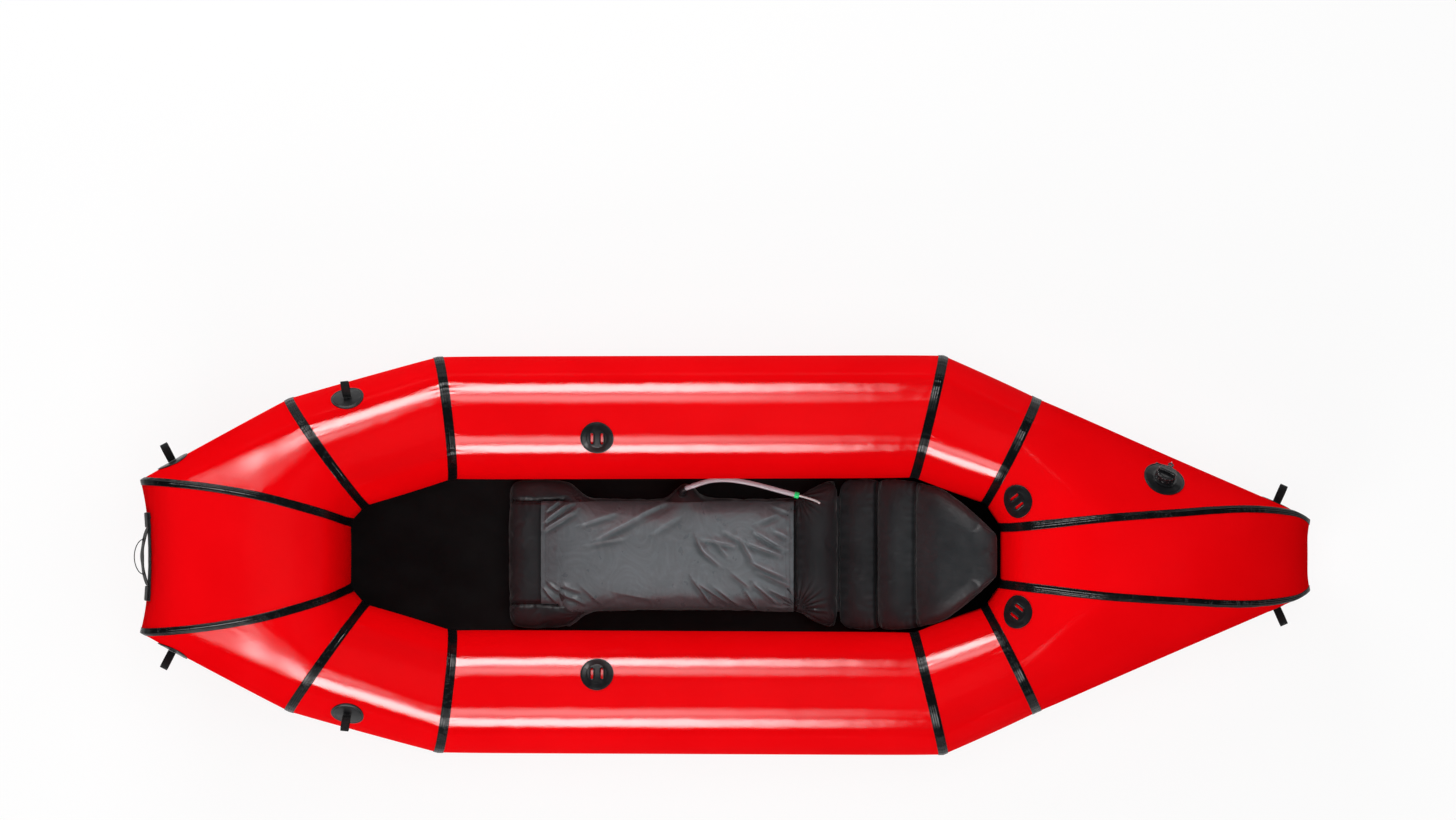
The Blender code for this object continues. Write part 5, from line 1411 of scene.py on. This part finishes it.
# Backrest from its hinge to its end, in mm: place, height, half width
BACKREST_PLAN = np.array((
    (3, 14, 146), (6, 26, 152), (13, 35, 154), (28, 41, 155), (45, 42, 156), (64, 37, 155),
    (80.3, 26, 152), (96, 37, 155), (123, 42, 155), (150, 37, 153), (169, 25, 150),
    (186, 36, 147), (225, 42, 137), (260, 41, 117), (290, 37, 95), (318, 31, 72),
    (338, 24, 55), (349, 14, 42))) / MM
BACKREST_CHANNELS = (0.0803, 0.169)
# Sewn lines of the seat: start, end, depth and half width of the channel
SEAT_CHANNELS = (
    ((-0.456, 0.111), (-0.338, 0.110), 0.0065, 0.0042),
    ((-0.456, -0.104), (-0.338, -0.104), 0.0065, 0.0042),
    ((-0.384, -0.102), (-0.384, 0.108), 0.0016, 0.0040),
    ((0.1415, -0.120), (0.1415, 0.128), 0.0050, 0.0042))
# Gathers of the seat: place, reach, number of folds all round, and their height
SEAT_GATHERS = (
    ((-0.305, 0.122), 0.026, 22, 0.0014), ((-0.305, -0.124), 0.028, 20, 0.0015),
    ((0.147, -0.112), 0.050, 24, 0.0030), ((0.150, 0.118), 0.044, 22, 0.0020),
    ((0.226, 0.142), 0.022, 16, 0.0010), ((0.226, -0.142), 0.024, 18, 0.0014),
    ((-0.452, -0.110), 0.022, 18, 0.0020), ((-0.452, 0.112), 0.014, 14, 0.0010))
# Folds of the cover, in mm: x and y of start and end, height and half width
COVER_FOLDS = np.array((
    (-374, 68, -316, 108, 4.8, 5.0), (-376, 50, -312, 88, 4.0, 5.5),
    (-370, 90, -338, 110, 3.0, 3.5), (-300, 62, -226, 84, 2.4, 6.0),
    (-268, 32, -180, 76, 3.6, 7.0), (-286, 20, -207, 36, 2.0, 6.0),
    (-186, 74, -118, 106, 3.2, 6.5), (-150, 46, -92, 80, 1.8, 7.0),
    (-379, -70, -350, -100, 3.4, 3.5), (-366, -62, -320, -92, 3.6, 4.2),
    (-350, -60, -300, -78, 2.6, 4.5), (-330, -86, -290, -104, 2.4, 4.0),
    (-300, -66, -262, -100, 2.0, 4.5), (-232, -78, -150, -92, 1.6, 6.0),
    (-62, 36, -40, -4, 3.0, 4.5), (-56, 16, -12, -24, 3.4, 5.0), (-52, 34, 24, 18, 2.6, 5.5),
    (-24, 30, 6, -6, 2.6, 5.0), (-4, 52, 30, 30, 2.0, 6.0), (-70, -50, -30, -100, 4.0, 4.8),
    (-56, -60, 4, -100, 3.8, 4.6), (-26, -66, 28, -104, 3.4, 5.0),
    (10, -36, 52, -70, 2.4, 5.5), (26, 40, 60, -18, 3.0, 6.0), (46, 24, 112, -2, 4.0, 5.5),
    (60, 48, 122, 10, 3.6, 5.5), (66, 66, 106, 82, 2.6, 5.5), (52, -16, 128, -52, 4.4, 5.5),
    (64, -34, 134, -68, 3.6, 5.0), (58, -60, 104, -100, 4.2, 4.8),
    (40, -74, 66, -110, 3.0, 4.5), (88, -72, 130, -92, 3.0, 4.5),
    (100, 50, 134, 30, 2.4, 4.5), (96, 98, 134, 84, 2.0, 4.5))) / MM

CLOTH_FRAMES = 20
CLOTH_SETTINGS = {
    "quality": 5, "mass": 0.3, "tension_stiffness": 25, "compression_stiffness": 12,
    "shear_stiffness": 8, "bending_stiffness": 0.3, "use_pressure": True,
    "uniform_pressure_force": 3.0, "vertex_group_mass": "held"}


def channel_depth(flat, channels):
    return sum(deep * bell(near_line(flat, start, end)[1] / half)
               for start, end, deep, half in channels)


def gather_height(flat, gathers):
    """Folds that run out from a drawn-in place."""
    height = np.zeros(flat.shape[:-1])
    for number, (centre, reach, count, size) in enumerate(gathers):
        away = flat - np.array(centre)
        far = np.linalg.norm(away, axis=-1)
        angle = np.arctan2(away[..., 1], away[..., 0])
        wave = np.cos(count * angle + number) + 0.5 * np.cos((count * 5 // 3) * angle + 2 * number)
        height += size * wave * bell((far - 0.35 * reach) / (0.62 * reach))
    return height


def crumple(flat, size, seed):
    """Fine uneven creases of thin cloth."""
    random = np.random.default_rng(seed)
    x, y = flat[..., 0], flat[..., 1]
    warp = np.zeros(flat.shape)
    for _ in range(6):
        wave, turn = random.uniform(18, 60), random.uniform(0, TURN)
        push = np.sin(wave * (x * math.cos(turn) + y * math.sin(turn))
                      + random.uniform(0, TURN)) / wave
        warp += push[..., None] * np.array([-math.sin(turn), math.cos(turn)]) * 0.9
    x, y = x + warp[..., 0], y + warp[..., 1]
    height = np.zeros(flat.shape[:-1])
    for _ in range(9):
        wave, turn = random.uniform(45, 170), random.uniform(0, TURN)
        ridge = np.sin(wave * (x * math.cos(turn) + y * math.sin(turn))
                       + random.uniform(0, TURN))
        height += (1 - np.abs(ridge)) ** 2 * (70 / wave)
    return size * (height / 9 - 0.2)


def pad_object(name, frame, rows, base, shape=None):
    """A closed crowned pad from rows of place, height and two half widths."""
    columns = 80
    angle = np.arange(columns) * TURN / columns
    rise = np.abs(np.sin(angle))
    across = signed_power(np.cos(angle), 0.55)
    up = np.where(np.sin(angle) >= 0, 0.36 + 0.64 * rise ** 0.55, 0.36 - 0.36 * rise ** 0.45)
    grid = []
    for x, height, port, starboard in rows:
        width = np.where(across >= 0, port, starboard)
        local = np.stack([np.full(columns, x), across * width, base + height * up], axis=1)
        if shape is not None:
            shape(local)
        grid.append(local)
    item = grid_object(name, placed(frame, grid), SEAT_CLOTH, closed=True)
    return capped(item, columns)


def vectors(item, key="co"):
    """Places or normals of a mesh's points."""
    values = np.zeros(len(item.data.vertices) * 3, np.float32)
    item.data.vertices.foreach_get(key, values)
    return values.reshape(-1, 3).astype(float)


def set_points(item, points):
    item.data.vertices.foreach_set("co", points.astype(np.float32).ravel())
    item.data.update()


def local_points(item, frame):
    return (vectors(item) - np.array(frame.translation)) @ np.array(frame.to_3x3())


def inflated(item, frame, voxel, most, held, slack):
    """Blow up a sewn pad by a cloth simulation, held where it is sewn or lies on the floor."""
    add_modifier(item, "REMESH", mode="VOXEL", voxel_size=voxel, use_smooth_shade=True)
    applied(item)
    start = vectors(item)
    group = item.vertex_groups.new(name="held")
    for number, share in enumerate(held(local_points(item, frame))):
        if share > 0.02:
            group.add([number], float(share), "REPLACE")
    cloth = item.modifiers.new("cloth", "CLOTH")
    for key, value in CLOTH_SETTINGS.items():
        setattr(cloth.settings, key, value)
    cloth.settings.shrink_min = cloth.settings.shrink_max = -slack
    cloth.settings.effector_weights.gravity = 0
    cloth.collision_settings.use_collision = False
    cloth.point_cache.frame_start = 1
    cloth.point_cache.frame_end = CLOTH_FRAMES
    for number in range(1, CLOTH_FRAMES + 1):
        SCENE.frame_set(number)
    applied(item)
    SCENE.frame_set(1)
    moved = vectors(item) - start
    far = np.linalg.norm(moved, axis=1, keepdims=True)
    moved *= np.minimum(1, most / np.maximum(far, 1e-9))
    set_points(item, start + moved)
    item.vertex_groups.clear()
    add_modifier(item, "SUBSURF", levels=1, render_levels=1)
    applied(item)
    item.data.shade_smooth()


def relieved(item, frame, relief):
    """Move the upper side of a pad along its normals by what a function of place says.

    The cloth's finish gets painted shade in what comes out as a crease and a painted highlight on
    a ridge.
    """
    height = relief(local_points(item, frame))
    normals = vectors(item, "normal")
    up = np.clip((normals @ np.array(up_of(frame)) - 0.05) / 0.4, 0, 1)
    set_points(item, vectors(item) + normals * (height * up)[:, None])
    # The fold attribute paints shade into the creases and a highlight onto the ridges
    point_values(item, "fold", np.tanh(height / 0.0020))


def rolled(local, sign, start, reach, low, push, corner_push):
    """A roll bulges over the hinge's flap, most at its corners."""
    share = np.clip(sign * (local[:, 0] - start) / reach, 0, 1) * np.clip(
        (local[:, 2] - low) / 0.014, 0, 1)
    corner = np.clip((np.abs(local[:, 1]) - 0.105) / 0.03, 0, 1)
    local[:, 0] += sign * (push + corner_push * corner) * share * share * (3 - 2 * share)


def rolled_back(local):
    rolled(local, 1, 0.195, 0.025, 0.034, 0.0085, 0.0035)


def rolled_forward(local):
    rolled(local, -1, 0.030, 0.027, -0.006, 0.0145, 0.0060)


def seat_relief(local):
    flat = local[:, :2]
    x, y = flat.T
    covered = np.clip((x - COVER_START) / 0.01, 0, 1) * np.clip(
        (COVER_END - x) / 0.01, 0, 1) * (np.abs(y + 0.004) < 0.108)
    soft = crumple(flat * 0.6, 0.0012, 41) * (1 - covered)
    rear = bell((x - 0.150) / 0.012) * np.sin(y * 310) * 0.0005
    side = bell((np.abs(y) - 0.107) / 0.010) * (x < -0.335)
    tucks = side * np.sin(x * 420) * 0.0006
    return soft + rear + tucks + gather_height(flat, SEAT_GATHERS) - channel_depth(
        flat, SEAT_CHANNELS)


def seat_held(local):
    sewn = channel_depth(local[:, :2], [(a, b, 1.0, 0.006) for a, b, _, _ in SEAT_CHANNELS])
    return np.clip(np.maximum(sewn, np.clip((0.010 - local[:, 2]) / 0.006, 0, 1)), 0, 1)


def backrest_relief(local):
    flat = local[:, :2]
    x, y = flat.T
    height = crumple(flat * 0.5, 0.0010, 43)
    rim = np.clip((np.abs(y) - 0.125) / 0.02, 0, 1)
    for number, channel in enumerate(BACKREST_CHANNELS):
        away = np.abs(x - channel)
        waves = np.sin(y * 290 + 3 * np.sin(y * 60 + number))
        height += 0.0006 * waves * np.exp(-away / 0.012) - 0.0045 * bell(away / 0.0034)
        height += rim * 0.0014 * np.sin((x - channel) * 520) * np.exp(-away / 0.018)
    return height + bell((x - 0.010) / 0.012) * 0.0005 * np.sin(y * 260)


def backrest_held(local):
    held = [bell((local[:, 0] - x) / 0.006) for x in BACKREST_CHANNELS]
    held.append(np.clip((BACKREST_BASE + 0.005 - local[:, 2]) / 0.004, 0, 1))
    held.append(np.clip((0.012 - local[:, 0]) / 0.006, 0, 1))
    return np.max(held, axis=0)


def make_seat_pad():
    item = pad_object("seat_pad", SEAT, smooth_line(SEAT_PLAN, 5), SEAT_BASE, rolled_back)
    inflated(item, SEAT, 0.0055, 0.006, seat_held, 0.012)
    relieved(item, SEAT, seat_relief)
    finished(item, "seat_cushion")
    return item


def backrest_piece(name, rows, shape=None):
    item = pad_object(name, BACKREST, rows, BACKREST_BASE, shape)
    inflated(item, BACKREST, 0.0050, 0.004, backrest_held, 0.010)
    relieved(item, BACKREST, backrest_relief)
    finished(item, "backrest", body="backrest")
    return item


def make_backrest_pads():
    """The backrest's first roll and its other rolls, made as two pieces."""
    rows = [(x, h, w, w) for x, h, w in smooth_line(BACKREST_PLAN, 6)]
    roll = backrest_piece("backrest_first_roll", [row for row in rows if row[0] < 0.0825],
                          rolled_forward)
    rest = backrest_piece("backrest_pad", [row for row in rows if row[0] > 0.0785])
    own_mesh(roll)
    return roll, rest


def cover_section(tree, x, columns):
    """Points of the cover across the seat at a place along it."""
    centre = SEAT @ Vector((x, 0, 0.020))
    turn = np.array(SEAT.to_3x3())
    section = []
    for angle in np.linspace(math.radians(2), math.radians(190), 160):
        way = Vector(turn @ np.array([0, math.cos(angle), math.sin(angle)]))
        hit = tree.ray_cast(centre, way)[0]
        if hit is not None:
            section.append(tuple(SEAT.inverted() @ hit))
    section = np.array(section)
    _, y, z = section.T
    front = min(1.0, (x - COVER_START) / 0.05)
    keep = (y < 0.1085) & ((y > -0.1035 - 0.012 * front) | (z < 0.040) & (front > 0.9))
    section = section[keep & ((z > 0.016) | (y > 0))]
    run = line_run(section)
    at = np.linspace(0, run[-1], columns)
    return np.stack([np.interp(at, run, section[:, k]) for k in range(3)], axis=1)


def make_cover(seat_tree):
    """Thin cloth drawn over the seat's middle, crumpled as its rolls are blown up."""
    rows, columns = 300, 150
    grid = np.array([cover_section(seat_tree, x, columns)
                     for x in np.linspace(COVER_START, COVER_END, rows)])
    kernel = np.ones(9) / 9
    for k in (1, 2):
        wide = np.pad(grid[:, :, k], ((4, 4), (0, 0)), mode="edge")
        grid[:, :, k] = np.apply_along_axis(lambda v: np.convolve(v, kernel, "valid"), 0, wide)
    normal = grid_normals(grid, False)
    if normal[rows // 2, columns // 2, 2] < 0:
        normal = -normal
    flat = grid[:, :, :2]
    x, y = flat[:, :, 0], flat[:, :, 1]
    lift, shade = np.zeros((2, rows, columns))
    for x0, y0, x1, y1, height, half in COVER_FOLDS:
        share, away, side = near_line(flat, (x0, y0), (x1, y1))
        taper = np.sin(math.pi * np.clip(share * 0.92 + 0.05, 0, 1)) ** 0.7
        size = height * taper * bell(np.maximum(away - half, 0) / (3 * half))
        steep = np.where(side > 0, 0.40, 1.30) * half
        lift += size * (1.90 * np.exp(-(away / steep) ** 1.3)
                        - 1.20 * bell((away - 1.5 * half) / half) * (side > 0))
        # Painted highlight on each fold's ridge and painted shade in a band on one side of it,
        # carried in the fold attribute
        shade += 190 * size * (bell(away / (0.6 * half))
                               - 1.5 * (side > 0) * bell((away - 1.5 * half) / (1.1 * half)))
    lift += crumple(flat, 0.0026, 45) + crumple(flat * 2.1, 0.0009, 46)
    ends = np.minimum(x - COVER_START, COVER_END - x)
    lift *= np.clip(ends / 0.010, 0, 1)
    pull = np.exp(-ends / 0.012) * (np.sin(y * 330) + np.sin(y * 197)) / 2
    lift += 0.0008 * pull * np.clip(ends / 0.003, 0, 1)
    rim = np.minimum(np.arange(columns), np.arange(columns)[::-1]) / 4
    lift *= np.clip(rim, 0.25, 1)
    top = placed(SEAT, grid + normal * (np.maximum(lift, -0.0016) + COVER_GAP)[:, :, None])
    cover = grid_object("seat_cover_cloth", top, COVER_CLOTH)
    edge = np.minimum(0.112 - y, y + 0.112) / 0.028
    # A random tone, with painted shade towards the cover's front, along its rim columns and at its
    # side edges
    tone_and_painted_shade = crumple(flat * 1.7, 0.8, 48) - 0.22 - 0.35 * np.clip((-0.20 - x) / 0.16, 0, 1)
    tone_and_painted_shade = tone_and_painted_shade - 0.5 * np.clip(1 - rim / 3, 0, 1) - 0.9 * bell(np.maximum(edge, 0))
    point_values(cover, "fold", np.tanh(shade + tone_and_painted_shade))
    face_up(cover, Vector((0, 0, 1)))
    thicken(cover, COVER_THICKNESS)
    add_modifier(cover, "SUBSURF", levels=1, render_levels=1)
    finished(cover, "seat_cover")
    size = [round(float(run_along(top, axis).max()), 3) for axis in (0, 1)]
    return top


def laid(tree, frame, places, height, lift, facing=None):
    """Points and normals of a line laid on a surface from a height."""
    line = []
    for x, y in places:
        hit, normal, _, _ = tree.ray_cast(frame @ Vector((x, y, height)), -up_of(frame))
        if hit is not None:
            line.append((hit + normal * lift, facing or normal))
    return line


def make_seams(cover, seat_tree, backrest_tree):
    """The threads of the double seam behind the cover, its hems and the sewn channels."""
    up = up_of(SEAT)
    seams = [((x, 0.112), (x, -0.112), 90) for x in (0.1450, 0.1485)]
    seams += [((-0.445, y), (-0.340, y), 50) for y in (0.1065, 0.1145, -0.1075, -0.1005)]
    lines = [laid(seat_tree, SEAT, np.linspace(*seam, endpoint=False), 0.12, 0.0003)
             for seam in seams]
    lines += [[(Vector(p) + up * 0.0004, up) for p in cover[row][6:-30]]
              for row in (6, 10, -6, -10)]
    stitching("seat_stitches", lines, 0.0034, 0.0025, 0.00030, slot="seat_fabric")
    lines = [laid(backrest_tree, BACKREST, np.linspace((x, -0.142), (x, 0.142), 120), 0.08,
                  0.0002, up_of(BACKREST)) for x in BACKREST_CHANNELS]
    stitching("backrest_stitches", lines, 0.0034, 0.0025, 0.00030, "backrest", "seat_fabric")


def make_flap():
    """The sewn cloth hinge between the seat and the backrest."""
    path = [HINGE @ Vector((x, 0, 0.0004 * math.sin(x * 900)))
            for x in np.linspace(-0.0215, -0.0030, 10)]
    path.append(HINGE @ Vector((0, 0, -0.0006)))
    path += [BACKREST @ Vector((x, 0, 0)) for x in np.linspace(0.0030, 0.0120, 8)]
    rows = [[place + Vector((0, share * 0.120, 0.0005 * math.sin(share * 34 + number * 0.3)))
             for share in np.linspace(-1, 1, 81)] for number, place in enumerate(path)]
    flap = grid_object("backrest_hinge_flap", np.array(rows), SEAT_CLOTH)
    thicken(flap, 0.0014, 0.0)
    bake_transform(flap)


HOSE_POINTS = (
    (-0.08350, 0.13580, 0.10180), (-0.07760, 0.13815, 0.10630), (-0.06240, 0.14320, 0.11356),
    (-0.04744, 0.14823, 0.11674), (-0.03169, 0.15240, 0.11843), (-0.01554, 0.15428, 0.11972),
    (0.00116, 0.15450, 0.12040), (0.01814, 0.15316, 0.12065), (0.03619, 0.15040, 0.12046),
    (0.05650, 0.14620, 0.11977), (0.07760, 0.14110, 0.11880), (0.09931, 0.13526, 0.11764),
    (0.11894, 0.12980, 0.11664), (0.13390, 0.12599, 0.11631), (0.14368, 0.12360, 0.11624))
TIP_POINTS = (
    (0.15252, 0.12144, 0.11618), (0.15578, 0.12059, 0.11654), (0.16053, 0.11934, 0.11706),
    (0.16594, 0.11780, 0.11774), (0.17232, 0.11586, 0.11863), (0.17937, 0.11363, 0.11967),
    (0.18533, 0.11150, 0.12060), (0.18962, 0.10943, 0.12139), (0.19282, 0.10747, 0.12207),
    (0.19495, 0.10610, 0.12253))
INLET_OVER = (-0.0900, 0.1280, 0.1480)
NECK_HEIGHTS = (0.0005, 0.0030, 0.0060, 0.0085)
NECK_POINTS = ((-0.08745, 0.13375, 0.09790), (-0.0848, 0.1352, 0.10075),
               (-0.0818, 0.1365, 0.1031))
FOOT_PROFILE = (
    (0.0, 0.0024), (0.0064, 0.0024), (0.0074, 0.0020), (0.0092, 0.0016), (0.0104, 0.0013),
    (0.0110, 0.0006), (0.0110, -0.0010), (0.0106, -0.0030), (0.0, -0.0030))
COLLAR_PROFILE = (
    (0.0, -0.0010), (0.0056, -0.0010), (0.0063, -0.0006), (0.0066, 0.0002), (0.0066, 0.0022),
    (0.0061, 0.0027), (0.0061, 0.0034), (0.0066, 0.0039), (0.0066, 0.0072), (0.0062, 0.0081),
    (0.0052, 0.0086), (0.0032, 0.0087), (0.0030, 0.0090), (0.0, 0.0090))
HOSE_RADIUS = 0.0050
TIP_RADIUS = 0.0022


def inlet_frame():
    """The foot of the hose's inlet, on the solid seat."""
    over = SEAT @ Vector(INLET_OVER)
    place, up, _, _ = piece_tree(NODES["seat_cushion"]).ray_cast(over, -up_of(SEAT))
    return framed(place, up.cross(SEAT.col[0].to_3d()).normalized().cross(up), up)


def make_hose(seat_tree):
    up = up_of(SEAT)
    inlet = inlet_frame()
    hit = seat_tree.ray_cast(inlet.translation + up * 0.05, -up)[0]
    sunk = (inlet.inverted() @ hit).z if hit is not None else 0.0
    base = min(0.0009, max(sunk, -0.004))
    foot = round_piece("hose_inlet_foot", inlet, [(r, base + z) for r, z in FOOT_PROFILE],
                       RUBBER, 48)
    finished(foot, "hose_inlet")
    neck = [tuple(inlet @ Vector((0, 0, z))) for z in NECK_HEIGHTS]
    neck = smooth_line([*neck, *NECK_POINTS], 4)
    shares = np.linspace(0, 1, len(neck))
    ribs = 0.0068 - 0.0006 * shares + 0.0004 * np.cos(shares * 40) * (shares > 0.35)
    finished(tube_piece("hose_inlet_elbow", neck, ribs, RUBBER, 24))
    line = smooth_line(HOSE_POINTS, 5)
    hose = tube_piece("seat_hose_tube", line, HOSE_RADIUS, HOSE_CLEAR, 24)
    finished(hose, "seat_hose")
    along = Vector(line[-1] - line[-2]).normalized()
    collar_frame = along.to_track_quat("Z", "Y").to_matrix().to_4x4()
    collar_frame.translation = Vector(line[-1])
    collar = round_piece("hose_collar_ring", collar_frame, COLLAR_PROFILE, GREEN, 40)
    finished(collar, "hose_collar")
    tip_line = smooth_line(TIP_POINTS, 3)
    radii = [TIP_RADIUS] * (len(tip_line) - 4) + [0.0023, 0.0025, 0.0025, TIP_RADIUS]
    tip = tube_piece("hose_tip_tube", tip_line, radii, TIP_CLEAR)
    finished(tip, "hose_tip", slot="clear_hose")
    path = line[::3]
    if not np.allclose(path[-1], line[-1]):
        path = np.concatenate([path, line[-1:]])


SEAT_TREE = piece_tree(make_seat_pad())
COVER_GRID = make_cover(SEAT_TREE)
make_seams(COVER_GRID, SEAT_TREE, piece_tree(*make_backrest_pads()))
make_flap()
make_hose(SEAT_TREE)
